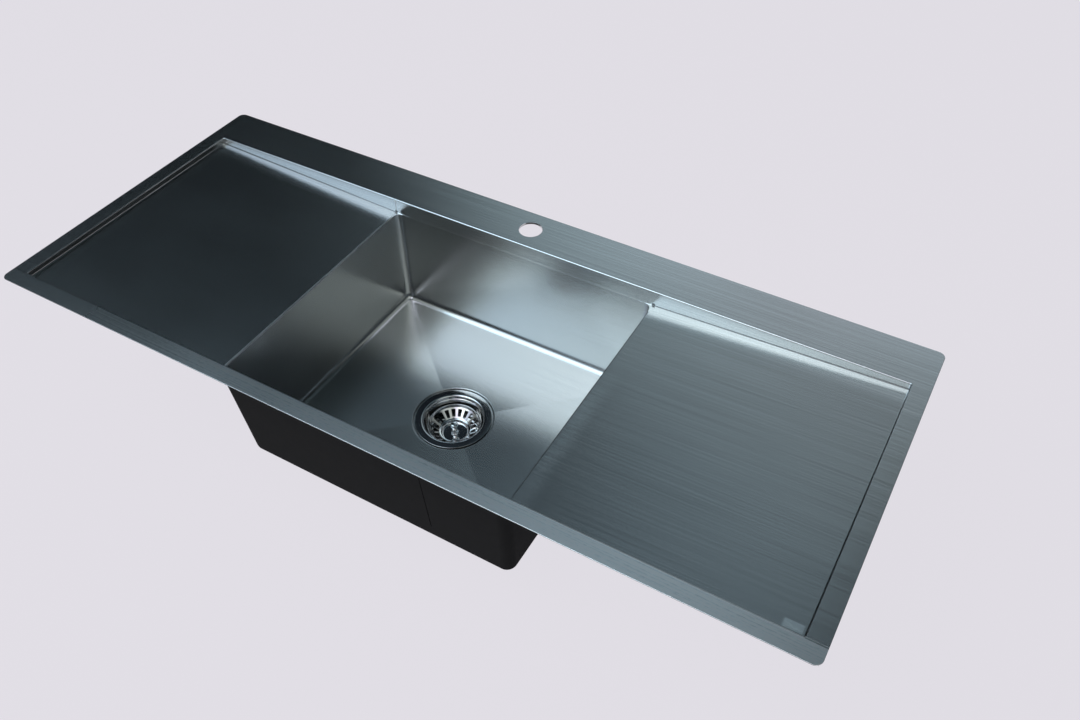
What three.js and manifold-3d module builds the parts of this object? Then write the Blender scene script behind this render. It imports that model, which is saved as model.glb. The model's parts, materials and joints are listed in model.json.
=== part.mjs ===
// Inset kitchen sink of brushed steel: one deep bowl between two drainboards, a ledge with a tap
// hole behind, a basket strainer waste in the floor and screw clips that grip the worktop.
//
// Millimetres, +Z up, +X to the user's right, +Y to the wall. The origin is the centre of the rim's
// outline, in the plane of the worktop that the rim's foam seal lies on.
import * as THREE from 'three';
import { mergeVertices } from 'three/addons/utils/BufferGeometryUtils.js';
import Module from 'manifold-3d';

const wasm = await Module();
wasm.setup();

// ---------------------------------------------------------------- driving dimensions

// Deck
const LENGTH = 1200; // overall, left to right
const WIDTH = 500; // overall, front to back
const SHEET = 1.2; // steel gauge of deck and bowl
const RIM_CORNER_R = 10;
const SIDE_RIM = 25; // flat rim left and right of the recess
const FRONT_RIM = 25;
const LEDGE = 75; // flat tap ledge behind the recess
const FOLD_R = 1.4; // where a flat turns down into a wall
const TAP_HOLE_R = 17.5;

// Drainboards
const BOARD_OUTER_DEPTH = 10; // below the deck, at the far end
const BOARD_INNER_DEPTH = 24; // below the deck, where the board meets the bowl
const COVE_R = 8; // sweep from a board into its front and back walls
const END_COVE = 2; // reach of the tighter sweep into its end wall
const RECESS_CORNER_R = 2.5;
const BOARD_FOLD_R = 2; // board turning down into the bowl
const WELD_STEP = 0.2; // boards' walls stand this far outside the bowl's

// Bowl
const BOWL_LENGTH = 440;
const BOWL_DEPTH = 189; // deck to the edge of the floor
const FLOOR_FALL = 6; // from the edge of the floor to its lowest point
const SIDE_DRAFT = 7; // how far each wall leans in over its depth
const BACK_DRAFT = 7;
const FRONT_DRAFT = 17;
const BOWL_CORNER_R = 12;
const FLOOR_R = 10; // fillet between walls and floor
const COLLAR = 6; // deck's downturned collar below the boards, welded to the bowl

// Sound-deadening coating, with the edge of a pad showing through it
const COATING = 1.6;
const COATING_START = 4; // below the underside of the boards' inner edge
const SEAM_X = 105;
const SEAM_WIDTH = 0.9;
const SEAM_DEPTH = 0.5;
const SEAM_MARGIN = 18; // seam's ends to the ends of the coated wall

// Pads and stiffeners under the boards
const PAD = 3;
const PAD_WIDTH = 150;
const PAD_MARGIN = 40; // pad's ends to the ends of its board
const PAD_CORNER_R = 10;
const HAT_WIDTH = 34;
const HAT_CROWN = 16;
const HAT_HEIGHT = 12;
const HAT_SHEET = 1;
const HAT_MARGIN = 25; // hat's ends to the ends of its board
const HAT_SPACING = 230; // centre to centre of the two hats of a board

// Plate under the tap hole
const PLATE = 2.5;
const PLATE_LENGTH = 124;
const PLATE_WIDTH = 52;
const PLATE_CORNER_R = 4;

// Foam seal under the rim
const SEAL = 1.5;
const SEAL_WIDTH = 5;
const SEAL_INSET = 3; // from the rim's edge

// Clip rails under the rim
const RAIL_INSET = 16.5; // rim's edge to the rail's centre line
const RAIL_WIDTH = 12;
const RAIL_HEIGHT = 8;
const RAIL_WALL = 1;
const RAIL_MARGIN = 40; // rail's end to the end of the rim
const RAIL_BREAK = 30; // rail's end to the side of the bowl, along the front
const BACK_RAIL_START = 90; // from the middle of the sink

// Clips: a bolt that hangs in the rail, its nut and a claw
const CLIP_MARGIN = 95; // clip to the end of its rail
const BOLT_R = 3;
const BOLT_LENGTH = 64; // below the head
const BOLT_HEAD = 3.4;
const NUT_FLATS = 10;
const NUT_HEIGHT = 5;
const NUT_MARGIN = 4; // thread below the nut at rest
const CLAW_WIDTH = 16;
const CLAW_SHEET = 2;
const CLAW_FOOT = 23; // bolt to the bend of the arm
const CLAW_REACH = 36;
const CLAW_RISE = 17;
const TIP_WIDTH = 2.4; // flat end of the arm
const HEEL_REACH = 16;
const HEEL_RISE = 9;
const TOOTH = 2.4;

// Waste: seat in the bowl's floor, gaskets, flange and cup
const SEAT_R = 60;
const SEAT_DROP = 2; // below the floor's lowest point
const DRAIN_HOLE_R = 46.5;
const UPPER_GASKET = 1.5;
const LOWER_GASKET = 2;
const GASKET_WIDTH = 7.5;
const GASKET_R = 56;
const FLANGE_R = 57;
const CUP_SHEET = 1;
const THROAT_R = 44.5;
const THROAT_ROLL_R = 3.5; // flange rolling into the throat
const CUP_TOP_R = 43.5;
const CUP_TOP_DEPTH = 9;
const CUP_BOTTOM_R = 41.5;
const CUP_DEPTH = 42; // flange to the cup's floor
const CUP_FLOOR_R = 4; // fillet in the cup
const CUP_SLOTS = 8;
const CUP_SLOT_WIDTH = 5.5;
const CUP_SLOT_START = 13;
const CUP_SLOT_END = 26;

// Waste: plastic body with its outlet, clamping screw and nut
const BODY_R = 57;
const BODY_FLANGE = 3;
const BODY_WALL = 2.5;
const BODY_CLEARANCE = 1.5; // round the cup
const BODY_CONE = 16; // height of the cone under the cup
const OUTLET_R = 23.9; // 1 1/2 inch pipe thread
const OUTLET_BORE_R = 20;
const OUTLET_LENGTH = 28;
const BOSS_R = 10;
const BOSS_HEIGHT = 9;
const RIBS = 4;
const RIB_THICKNESS = 3;
const SCREW_R = 5;
const SCREW_BORE_R = 3.6;
const SCREW_HEAD_R = 8;
const SCREW_HEAD = 3;
const SCREW_MARGIN = 2; // thread below the nut
const SCREW_NUT_FLATS = 17;
const SCREW_NUT_HEIGHT = 6;

// Basket with its rubber plug, retainer, knob and snap ring
const BASKET_R = 40;
const BASKET_SHEET = 0.8;
const BASKET_DEPTH = 12; // flange to the rolled rim
const BASKET_ROLL = 1.2; // height of the rolled rim
const CONE_TOP_R = 36.5;
const CONE_TOP_DEPTH = 16.5;
const CONE_FOOT_R = 23;
const CONE_FOOT_DEPTH = 26;
const DISH_R = 20.5;
const DISH_DEPTH = 32;
const DISH_FILLET_R = 3;
const BASKET_SLOTS = 20;
const SLOT_MARGIN = 1.6; // slot's ends to the edges of the cone
const SLOT_SHARE = 0.6; // of the pitch
const PLUG_R = 32;
const PLUG_SHEET = 2;
const RETAINER = 1.6;
const RETAINER_R = 11;
const KNOB_R = 5.8;
const KNOB_NECK_R = 3.2;
const KNOB_HEIGHT = 20;
const KNOB_FOOT = 1.5; // flat collar on the dish
const KNOB_HEAD = 4; // from the neck's end to the crown
const STEM_R = 2.6;
const STEM_REACH = 12; // into the clamping screw
const SNAP_WIRE = 0.8;
const SNAP_HEIGHT = 3; // above the stem's end

// Clearances
const GAP = 0.3; // between faces that touch on the real sink
const THREAD_GAP = 0.2;
const SHANK_GAP = 0.4;
const SNAP_GAP = 0.1;

// ---------------------------------------------------------------- places worked out from them

const DECK_UNDER = SEAL;
const DECK_TOP = DECK_UNDER + SHEET;
const BACK_Y = WIDTH / 2 - LEDGE;
const FRONT_Y = FRONT_RIM - WIDTH / 2;
const MIDDLE_Y = (FRONT_Y + BACK_Y) / 2;
const LEDGE_Y = (BACK_Y + WIDTH / 2) / 2;
const RECESS_HALF = LENGTH / 2 - SIDE_RIM;
const BOWL_HALF = BOWL_LENGTH / 2;
const BOARD_SLOPE = (BOARD_INNER_DEPTH - BOARD_OUTER_DEPTH) / (RECESS_HALF - BOWL_HALF);
const FLOOR_EDGE_Z = DECK_TOP - BOWL_DEPTH;
const COLLAR_Z = DECK_TOP - BOARD_INNER_DEPTH - COLLAR;
const COATING_TOP = DECK_TOP - BOARD_INNER_DEPTH - COATING_START;
const DRAIN_Y = MIDDLE_Y + (FRONT_DRAFT - BACK_DRAFT) / 2;
const SEAT_Z = FLOOR_EDGE_Z - FLOOR_FALL - SEAT_DROP;
const FLANGE_Z = SEAT_Z + UPPER_GASKET + 2 * GAP + CUP_SHEET; // top of the flange
const CUP_FLOOR = FLANGE_Z - CUP_DEPTH;
const CUP_UNDER = CUP_FLOOR - CUP_SHEET;
const BODY_TOP = SEAT_Z - SHEET - LOWER_GASKET - 2 * GAP;
const BOSS_TOP = CUP_UNDER - GAP;
const BOSS_FOOT = BOSS_TOP - BOSS_HEIGHT;
const CONE_FOOT = CUP_UNDER - BODY_CONE;
const OUTLET_END = CONE_FOOT - OUTLET_LENGTH;
const SCREW_TOP = CUP_FLOOR + GAP + SCREW_HEAD;
const SCREW_NUT_FOOT = BOSS_FOOT - GAP - SCREW_NUT_HEIGHT;
const STEM_END = SCREW_TOP - STEM_REACH;
const DISH_Z = FLANGE_Z - DISH_DEPTH;
const PLUG_TOP = DISH_Z - BASKET_SHEET - GAP;
const RETAINER_TOP = PLUG_TOP - PLUG_SHEET - GAP;
const RAIL_SLOT = 2 * (BOLT_R + SHANK_GAP);
const RAIL_TOP = DECK_UNDER - GAP;
const BOLT_TOP = RAIL_TOP - RAIL_HEIGHT + RAIL_WALL + GAP; // under the bolt's head
const NUT_FOOT = BOLT_TOP - BOLT_LENGTH + NUT_MARGIN;

const CORNER_STEPS = 5;
const FILLET_STEPS = 4;
const ROUND_STEPS = 40;
const SMALL_STEPS = 20; // round a stem, a bolt or a nut
const WIRE_STEPS = 6;
const OVERRUN = 10; // how far a cutting solid runs past what it cuts
const BOARD_START = BOWL_HALF - 2 * BOWL_CORNER_R; // boards are drawn from inside the bowl

// ---------------------------------------------------------------- finishes

const finish = (color, roughness, metalness) =>
  new THREE.MeshStandardMaterial({ color, roughness, metalness });
const brushedSteel = () => finish(0x8d999f, 0.34, 1);
const polishedSteel = () => finish(0xc4c8ca, 0.12, 1);
const zincSteel = () => finish(0xa9abaa, 0.45, 1);
const coatingPaint = () => finish(0x2c2c2e, 0.85, 0);
const bitumen = () => finish(0x1f1f20, 0.9, 0);
const blackRubber = () => finish(0x18181a, 0.7, 0);
const greyFoam = () => finish(0x55585a, 0.95, 0);
const palePlastic = () => finish(0xd8d9d6, 0.5, 0);

// ---------------------------------------------------------------- tools for solids

// A closed mesh, by its positions alone, as a solid that can be cut and joined.
function solid(geometry) {
  const bare = geometry.clone();
  for (const name of Object.keys(bare.attributes)) {
    if (name !== 'position') bare.deleteAttribute(name);
  }
  const merged = mergeVertices(bare, 1e-4);
  const index = merged.index.array;
  const kept = [];
  for (let i = 0; i < index.length; i += 3) {
    const [a, b, c] = [index[i], index[i + 1], index[i + 2]];
    if (a !== b && b !== c && c !== a) kept.push(a, b, c);
  }
  return new wasm.Manifold(new wasm.Mesh({
    numProp: 3,
    vertProperties: new Float32Array(merged.attributes.position.array),
    triVerts: new Uint32Array(kept),
  }));
}

// The surface of a solid, for a mesh.
function surface(body) {
  const mesh = body.getMesh();
  const geometry = new THREE.BufferGeometry();
  geometry.setAttribute('position', new THREE.BufferAttribute(mesh.vertProperties, 3));
  geometry.setIndex(new THREE.BufferAttribute(mesh.triVerts, 1));
  geometry.computeVertexNormals();
  return geometry;
}

const joined = (solids) => solids.reduce((whole, part) => whole.add(part));
const mirrored = (points) => points.map(([x, y]) => [-x, y]).reverse();
const quarter = (steps) => Array.from({ length: steps + 1 }, (_, i) => (i / steps) * Math.PI / 2);

// A closed solid through a stack of outlines, from the lowest up. Each end is closed by a fan
// from its middle, or from lowTip at the low end.
function loft(rings, lowTip) {
  const count = rings[0].length;
  const middle = (points) => [0, 1, 2].map((k) => points.reduce((sum, p) => sum + p[k], 0) / count);
  const last = (rings.length - 1) * count;
  const low = rings.length * count;
  const points = [...rings.flat(), lowTip ?? middle(rings[0]), middle(rings.at(-1))];
  const triangles = [];
  for (let i = 0; i < count; i++) {
    const next = (i + 1) % count;
    triangles.push(low, next, i, low + 1, last + i, last + next);
    for (let base = 0; base < last; base += count) {
      triangles.push(base + i, base + next, base + count + next);
      triangles.push(base + i, base + count + next, base + count + i);
    }
  }
  const geometry = new THREE.BufferGeometry();
  geometry.setAttribute('position', new THREE.Float32BufferAttribute(points.flat(), 3));
  geometry.setIndex(triangles);
  return solid(geometry);
}

// Points round a rectangle with rounded corners, anticlockwise. radii belong to the corners
// (+x +y), (-x +y), (-x -y) and (+x -y).
function rounded({ xMin, xMax, yMin, yMax }, radii) {
  const corners = [[xMax, yMax, -1, -1], [xMin, yMax, 1, -1], [xMin, yMin, 1, 1], [xMax, yMin, -1, 1]];
  return corners.flatMap(([x, y, inX, inY], corner) => {
    const radius = radii[corner];
    return Array.from({ length: CORNER_STEPS + 1 }, (_, step) => {
      const angle = (corner + step / CORNER_STEPS) * Math.PI / 2;
      return [x + radius * (inX + Math.cos(angle)), y + radius * (inY + Math.sin(angle))];
    });
  });
}

const alike = (radius) => [radius, radius, radius, radius];

const centred = (length, width, x = 0, y = 0) => (
  { xMin: x - length / 2, xMax: x + length / 2, yMin: y - width / 2, yMax: y + width / 2 });

// A straight bar with a closed outline of [x, y] points, from z = low to z = high.
function bar(points, low, high) {
  const shape = new THREE.Shape(points.map(([x, y]) => new THREE.Vector2(x, y)));
  const geometry = new THREE.ExtrudeGeometry(shape, { depth: high - low, bevelEnabled: false });
  return geometry.translate(0, 0, low);
}

// The same bar laid down, with its outline's y upright: lying along Y, or along X.
const laidAlongY = (geometry) => geometry.rotateX(Math.PI / 2);
const laidAlongX = (geometry) => geometry.rotateX(Math.PI / 2).rotateZ(Math.PI / 2);

// A turned piece about the Z axis, from a closed profile of [radius, height] points.
function turned(profile, steps = ROUND_STEPS) {
  const points = profile.map(([radius, height]) => new THREE.Vector2(radius, height));
  if (THREE.ShapeUtils.area(points) < 0) points.reverse();
  points.push(points[0]);
  return solid(new THREE.LatheGeometry(points, steps).rotateX(Math.PI / 2));
}

const tube = (inner, outer, low, high, steps) => turned(
  [[inner, low], [outer, low], [outer, high], [inner, high]], steps);
const cylinder = (radius, low, high, steps) => tube(0, radius, low, high, steps);

// The closed profile of spun sheet: a path along one face and the same path offset to its left.
function sheetProfile(path, thickness) {
  const points = path.map(([r, z]) => new THREE.Vector2(r, z));
  const offset = points.map((point, i) => {
    const into = point.clone().sub(points[Math.max(i - 1, 0)]).normalize();
    const out = points[Math.min(i + 1, points.length - 1)].clone().sub(point).normalize();
    const along = into.clone().add(out).normalize();
    const stretch = along.dot(into.length() > 0 ? into : out);
    return [point.x - along.y * thickness / stretch, point.y + along.x * thickness / stretch];
  });
  return [...path, ...offset.reverse()];
}

// An arc of [radius, height] points about a centre, from one angle to another in quarter turns.
const arc = (x, z, radius, from, to) => Array.from({ length: FILLET_STEPS + 1 }, (_, i) => {
  const angle = (from + (to - from) * i / FILLET_STEPS) * Math.PI / 2;
  return [x + radius * Math.cos(angle), z + radius * Math.sin(angle)];
});

function hexNut(flats, bore, height) {
  const corner = flats / Math.sqrt(3);
  const block = new THREE.CylinderGeometry(corner, corner, height, 6).rotateX(Math.PI / 2);
  const hole = cylinder(bore, -OVERRUN, height + OVERRUN, SMALL_STEPS);
  return solid(block.translate(0, 0, height / 2)).subtract(hole);
}

// ---------------------------------------------------------------- the forms that the sheet takes

// Share of the bowl's wall that lies above height z, and how far the walls lean in there.
const drop = (z) => (DECK_TOP - z) / BOWL_DEPTH;
const sideX = (z) => BOWL_HALF - SIDE_DRAFT * drop(z);
const frontY = (z) => FRONT_Y + FRONT_DRAFT * drop(z);
const backY = (z) => BACK_Y - BACK_DRAFT * drop(z);

// The bowl's inside outline at height z, drawn in by inset.
function bowlOutline(z, inset) {
  const x = sideX(z) - inset;
  const box = { xMin: -x, xMax: x, yMin: frontY(z) + inset, yMax: backY(z) - inset };
  return rounded(box, alike(Math.max(BOWL_CORNER_R - inset, GAP))).map(([px, py]) => [px, py, z]);
}

// The bowl as a solid block, grown by growth outside its inner face. edge lists the heights and
// insets of its upper outlines. The floor's panels fall to one point, so they fold along creases
// that run to the corners.
function bowlBlock(growth, edge) {
  const fillet = quarter(FILLET_STEPS).reverse().map((angle) => [
    FLOOR_EDGE_Z + FLOOR_R - (FLOOR_R + growth) * Math.sin(angle),
    FLOOR_R - (FLOOR_R + growth) * Math.cos(angle)]);
  const rings = [...fillet, ...edge].map(([z, inset]) => bowlOutline(z, inset));
  return loft(rings, [0, DRAIN_Y, FLOOR_EDGE_Z - FLOOR_FALL - growth]);
}

// Heights and insets of an opening's folded edge, from the wall up and on through the deck.
const foldedEdge = [
  ...quarter(3).map((angle) => [
    DECK_TOP - FOLD_R * (1 - Math.sin(angle)), -FOLD_R * (1 - Math.cos(angle))]),
  [DECK_TOP + OVERRUN, -FOLD_R],
];

// Height of a drainboard's surface, at a reach from the middle of the sink.
const boardZ = (reach) => DECK_TOP - BOARD_OUTER_DEPTH - BOARD_SLOPE * (RECESS_HALF - reach);

// A drainboard's recess as a solid block on one side, 1 right or -1 left, grown by growth. Its
// floor slopes to the bowl, and its front and back walls lie in the planes of the bowl's walls.
function boardBlock(side, growth, edge) {
  const cove = Math.min(COVE_R, BOARD_OUTER_DEPTH - FOLD_R - GAP);
  const outline = (inset, endInset, heightAt) => {
    const box = {
      xMin: BOARD_START,
      xMax: RECESS_HALF - endInset,
      yMin: FRONT_Y - WELD_STEP + inset,
      yMax: BACK_Y + WELD_STEP - inset,
    };
    const radius = Math.max(RECESS_CORNER_R - endInset, GAP);
    const points = rounded(box, [radius, 0, 0, radius]).map(([reach, y]) => {
      const z = heightAt(reach);
      return [side * reach, y + (y < MIDDLE_Y ? frontY(z) - FRONT_Y : backY(z) - BACK_Y), z];
    });
    return side > 0 ? points : points.reverse();
  };
  const rings = quarter(FILLET_STEPS).reverse().map((angle) => {
    const inset = cove - (cove + growth) * Math.cos(angle);
    const endInset = END_COVE - (END_COVE + growth) * Math.cos(angle);
    const rise = cove - (cove + growth) * Math.sin(angle);
    return outline(inset, endInset, (reach) => boardZ(reach) + rise);
  });
  return loft([...rings, ...edge.map(([z, inset]) => outline(inset, inset, () => z))]);
}

// Shears a flat piece, drawn with its top at z = 0, against the underside of the boards.
function underBoard(geometry) {
  const place = geometry.attributes.position;
  for (let i = 0; i < place.count; i++) {
    place.setZ(i, place.getZ(i) + boardZ(Math.abs(place.getX(i))) - SHEET - GAP);
  }
  return solid(geometry);
}

// ---------------------------------------------------------------- deck, bowl and coating

// What is cut from the sharp line where a board meets the bowl, to leave a rounded fold.
function boardFold(side) {
  const z = boardZ(BOWL_HALF);
  const x = sideX(z);
  const curve = quarter(FILLET_STEPS).map((angle) => [
    x + BOARD_FOLD_R * (1 - Math.cos(angle)), z - BOARD_FOLD_R * (1 - Math.sin(angle))]);
  const outline = [
    ...curve, [x + BOARD_FOLD_R, z + SHEET], [x - SHEET, z + SHEET], [x - SHEET, z - BOARD_FOLD_R]];
  const end = 1.5 * BOWL_CORNER_R;
  const [low, high] = [end - backY(z), -(frontY(z) + end)];
  return solid(laidAlongY(bar(side > 0 ? outline : mirrored(outline), low, high)));
}

function deck() {
  const rim = rounded(centred(LENGTH, WIDTH), alike(RIM_CORNER_R));
  const sheet = joined([
    solid(bar(rim, DECK_UNDER, DECK_TOP)),
    boardBlock(1, SHEET, [[DECK_TOP, -SHEET]]),
    boardBlock(-1, SHEET, [[DECK_TOP, -SHEET]]),
    loft([bowlOutline(COLLAR_Z, -SHEET), bowlOutline(DECK_TOP, -SHEET)]),
  ]);
  return sheet.subtract(joined([
    bowlBlock(0, foldedEdge),
    boardBlock(1, 0, foldedEdge),
    boardBlock(-1, 0, foldedEdge),
    boardFold(1),
    boardFold(-1),
    cylinder(TAP_HOLE_R, -OVERRUN, OVERRUN).translate([0, LEDGE_Y, 0]),
  ]));
}

function bowl() {
  const floorDisc = (radius, low) => cylinder(radius, low, FLOOR_EDGE_Z).translate([0, DRAIN_Y, 0]);
  return bowlBlock(SHEET, [[COLLAR_Z, -SHEET]])
    .add(floorDisc(SEAT_R + SHEET, SEAT_Z - SHEET))
    .subtract(joined([
      bowlBlock(0, foldedEdge),
      floorDisc(SEAT_R, SEAT_Z),
      floorDisc(DRAIN_HOLE_R, SEAT_Z - OVERRUN),
    ]));
}

function bowlCoating() {
  const inner = SHEET + GAP;
  const outer = inner + COATING;
  const hole = cylinder(SEAT_R + inner, SEAT_Z - OVERRUN, FLOOR_EDGE_Z).translate([0, DRAIN_Y, 0]);
  const groove = (z) => {
    const face = frontY(z) - outer;
    const box = centred(SEAM_WIDTH, 2 * SEAM_DEPTH, SEAM_X, face);
    return rounded(box, alike(0)).map(([x, y]) => [x, y, z]);
  };
  const seam = loft([groove(FLOOR_EDGE_Z + FLOOR_R + SEAM_MARGIN), groove(COATING_TOP - SEAM_MARGIN)]);
  return bowlBlock(outer, [[COATING_TOP, -outer]])
    .subtract(joined([bowlBlock(inner, [[COATING_TOP + OVERRUN, -inner]]), hole, seam]));
}

// ---------------------------------------------------------------- under the boards and the ledge

const alongBoard = (side, margin) => {
  const ends = [BOWL_HALF + margin, RECESS_HALF - margin].map((reach) => side * reach);
  return ends.sort((a, b) => a - b);
};

function boardPad(side) {
  const [xMin, xMax] = alongBoard(side, PAD_MARGIN);
  const box = { xMin, xMax, yMin: MIDDLE_Y - PAD_WIDTH / 2, yMax: MIDDLE_Y + PAD_WIDTH / 2 };
  return underBoard(bar(rounded(box, alike(PAD_CORNER_R)), -PAD, 0));
}

// A pressed hat section: wings against the board and a hollow crown that hangs below it.
function boardStiffener(side, y) {
  const [wing, crown] = [HAT_WIDTH / 2, HAT_CROWN / 2];
  const half = [
    [crown - HAT_SHEET, HAT_SHEET - HAT_HEIGHT], [crown - HAT_SHEET, 0], [wing, 0],
    [wing, -HAT_SHEET], [crown, -HAT_SHEET], [crown, -HAT_HEIGHT]];
  const length = laidAlongX(bar([...half, ...mirrored(half)], ...alongBoard(side, HAT_MARGIN)));
  return underBoard(length.translate(0, y, 0));
}

function tapPlate() {
  const outline = rounded(centred(PLATE_LENGTH, PLATE_WIDTH), alike(PLATE_CORNER_R));
  return solid(bar(outline, -PLATE, 0)).subtract(cylinder(TAP_HOLE_R + GAP, -OVERRUN, OVERRUN));
}

function sealStrip(length) {
  return solid(bar(rounded(centred(length, SEAL_WIDTH), alike(0)), 0, SEAL));
}

// A rail open below, with two lips that the bolts' heads hang on.
function rail(length) {
  const outer = [[RAIL_SLOT / 2, -RAIL_HEIGHT], [RAIL_WIDTH / 2, -RAIL_HEIGHT], [RAIL_WIDTH / 2, 0]];
  const inside = RAIL_WIDTH / 2 - RAIL_WALL;
  const lip = RAIL_WALL - RAIL_HEIGHT;
  const inner = [[inside, -RAIL_WALL], [inside, lip], [RAIL_SLOT / 2, lip]];
  const outline = [...outer, ...mirrored(outer), ...mirrored(inner), ...inner];
  return solid(laidAlongX(bar(outline, -length / 2, length / 2)));
}

// ---------------------------------------------------------------- clips

function clipBolt() {
  const across = RAIL_WIDTH - 2 * RAIL_WALL - 2 * GAP;
  const head = bar(rounded(centred(2 * BOLT_R, across), alike(0)), 0, BOLT_HEAD);
  return solid(head).add(cylinder(BOLT_R, -BOLT_LENGTH, BOLT_HEAD / 2, SMALL_STEPS));
}

// A strip of steel bent up at both ends: a heel that bears on the sink and a toothed tip that
// bites under the worktop.
function clipClaw() {
  const outline = [
    [-HEEL_REACH, 0], [CLAW_FOOT, 0], [CLAW_REACH, CLAW_RISE],
    [CLAW_REACH - TIP_WIDTH, CLAW_RISE], [CLAW_FOOT - CLAW_SHEET / 2, CLAW_SHEET],
    [CLAW_SHEET - HEEL_REACH, CLAW_SHEET],
    [CLAW_SHEET - HEEL_REACH, HEEL_RISE], [-HEEL_REACH, HEEL_RISE]];
  const strip = solid(laidAlongY(bar(outline, -CLAW_WIDTH / 2, CLAW_WIDTH / 2)));
  const notches = [-1, 1].map((side) => {
    const y = side * CLAW_WIDTH / 4;
    const notch = [
      [y, CLAW_RISE - TOOTH], [y + TOOTH, CLAW_RISE + GAP], [y - TOOTH, CLAW_RISE + GAP]];
    return solid(laidAlongX(bar(notch, CLAW_FOOT, CLAW_REACH + OVERRUN)));
  });
  const hole = cylinder(BOLT_R + GAP, -OVERRUN, HEEL_RISE, SMALL_STEPS);
  return strip.subtract(joined([...notches, hole]));
}

// ---------------------------------------------------------------- waste, about its own axis

const radialSlots = (count, outline, low, high) => joined(Array.from({ length: count }, (_, i) =>
  solid(bar(outline, low, high)).rotate([0, 0, (360 * i) / count])));

function strainerCup() {
  const roll = THROAT_R + THROAT_ROLL_R;
  const path = [
    [FLANGE_R, FLANGE_Z],
    ...arc(roll, FLANGE_Z - THROAT_ROLL_R, THROAT_ROLL_R, 1, 2),
    [CUP_TOP_R, FLANGE_Z - CUP_TOP_DEPTH],
    ...arc(CUP_BOTTOM_R - CUP_FLOOR_R, CUP_FLOOR + CUP_FLOOR_R, CUP_FLOOR_R, 0, -1),
    [SCREW_R + SHANK_GAP, CUP_FLOOR],
  ];
  const box = {
    xMin: CUP_SLOT_START, xMax: CUP_SLOT_END, yMin: -CUP_SLOT_WIDTH / 2, yMax: CUP_SLOT_WIDTH / 2,
  };
  const slot = rounded(box, alike(CUP_SLOT_WIDTH / 2));
  return turned(sheetProfile(path, CUP_SHEET))
    .subtract(radialSlots(CUP_SLOTS, slot, CUP_UNDER - 1, CUP_FLOOR + 1));
}

const gasket = (low, thickness) => tube(GASKET_R - GASKET_WIDTH, GASKET_R, low, low + thickness);

function wasteBody() {
  const bore = THROAT_R + CUP_SHEET + SHANK_GAP;
  const inside = CUP_BOTTOM_R + CUP_SHEET + BODY_CLEARANCE;
  const cavity = turned([
    [0, BODY_TOP + 1], [bore, BODY_TOP + 1], [inside, CUP_UNDER], [OUTLET_BORE_R, CONE_FOOT],
    [OUTLET_BORE_R, OUTLET_END - 1], [0, OUTLET_END - 1]]);
  const block = turned([
    [0, BODY_TOP], [BODY_R, BODY_TOP], [BODY_R, BODY_TOP - BODY_FLANGE],
    [bore + BODY_WALL, BODY_TOP - BODY_FLANGE], [inside + BODY_WALL, CUP_UNDER - BODY_WALL / 2],
    [OUTLET_R, CONE_FOOT - BODY_WALL], [OUTLET_R, OUTLET_END], [0, OUTLET_END]]);
  const boss = cylinder(BOSS_R, BOSS_FOOT, BOSS_TOP);
  const span = inside + BODY_WALL - (SCREW_R + BOSS_R) / 2;
  const rib = rounded(centred(span, RIB_THICKNESS, inside + BODY_WALL - span / 2), alike(0));
  const spider = boss
    .add(radialSlots(RIBS, rib, BOSS_FOOT, BOSS_TOP - RIB_THICKNESS))
    .subtract(cylinder(SCREW_R + SHANK_GAP, BOSS_FOOT - 1, BOSS_TOP + 1));
  return block.subtract(cavity.subtract(spider));
}

// A hollow screw whose head rests on the cup's floor, with the basket's stem in its bore.
function clampScrew() {
  const foot = SCREW_NUT_FOOT - SCREW_MARGIN;
  const head = CUP_FLOOR + GAP;
  return turned([
    [0, foot], [SCREW_R, foot], [SCREW_R, head], [SCREW_HEAD_R, head], [SCREW_HEAD_R, SCREW_TOP],
    [SCREW_BORE_R, SCREW_TOP], [SCREW_BORE_R, STEM_END - 1], [0, STEM_END - 1]], SMALL_STEPS);
}

// ---------------------------------------------------------------- basket, about the same axis

function basket() {
  const rim = FLANGE_Z - BASKET_DEPTH;
  const path = [
    [BASKET_R, rim - BASKET_ROLL], [BASKET_R, rim - BASKET_SHEET / 2],
    [BASKET_R - BASKET_SHEET / 2, rim], [BASKET_R - 2 * BASKET_SHEET, rim],
    [BASKET_R - 2.5 * BASKET_SHEET, rim - BASKET_SHEET], // the roll's inner edge
    [CONE_TOP_R, FLANGE_Z - CONE_TOP_DEPTH], [CONE_FOOT_R, FLANGE_Z - CONE_FOOT_DEPTH],
    [DISH_R, FLANGE_Z - CONE_FOOT_DEPTH - BASKET_SHEET],
    ...arc(DISH_R - DISH_FILLET_R, DISH_Z + DISH_FILLET_R, DISH_FILLET_R, 0, -1).slice(1),
    [STEM_R + SHANK_GAP, DISH_Z],
  ];
  const half = SLOT_SHARE * Math.PI / BASKET_SLOTS;
  const polar = (radius, angle) => [radius * Math.cos(angle), radius * Math.sin(angle)];
  const [near, far] = [CONE_FOOT_R + SLOT_MARGIN, CONE_TOP_R - SLOT_MARGIN];
  const slot = [polar(near, -half), polar(far, -half), polar(far, half), polar(near, half)];
  return turned(sheetProfile(path, BASKET_SHEET))
    .subtract(radialSlots(BASKET_SLOTS, slot, DISH_Z, FLANGE_Z - BASKET_DEPTH));
}

// A rubber bell that seals on the floor of the cup, round its slots.
const basketPlug = () => turned(sheetProfile([
  [PLUG_R, CUP_FLOOR + GAP], [PLUG_R, CUP_FLOOR + GAP + PLUG_SHEET],
  [PLUG_R - 2 * PLUG_SHEET, PLUG_TOP], [STEM_R + SHANK_GAP, PLUG_TOP]], PLUG_SHEET));

const basketRetainer = () => tube(
  STEM_R + THREAD_GAP, RETAINER_R, RETAINER_TOP - RETAINER, RETAINER_TOP, SMALL_STEPS);

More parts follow.
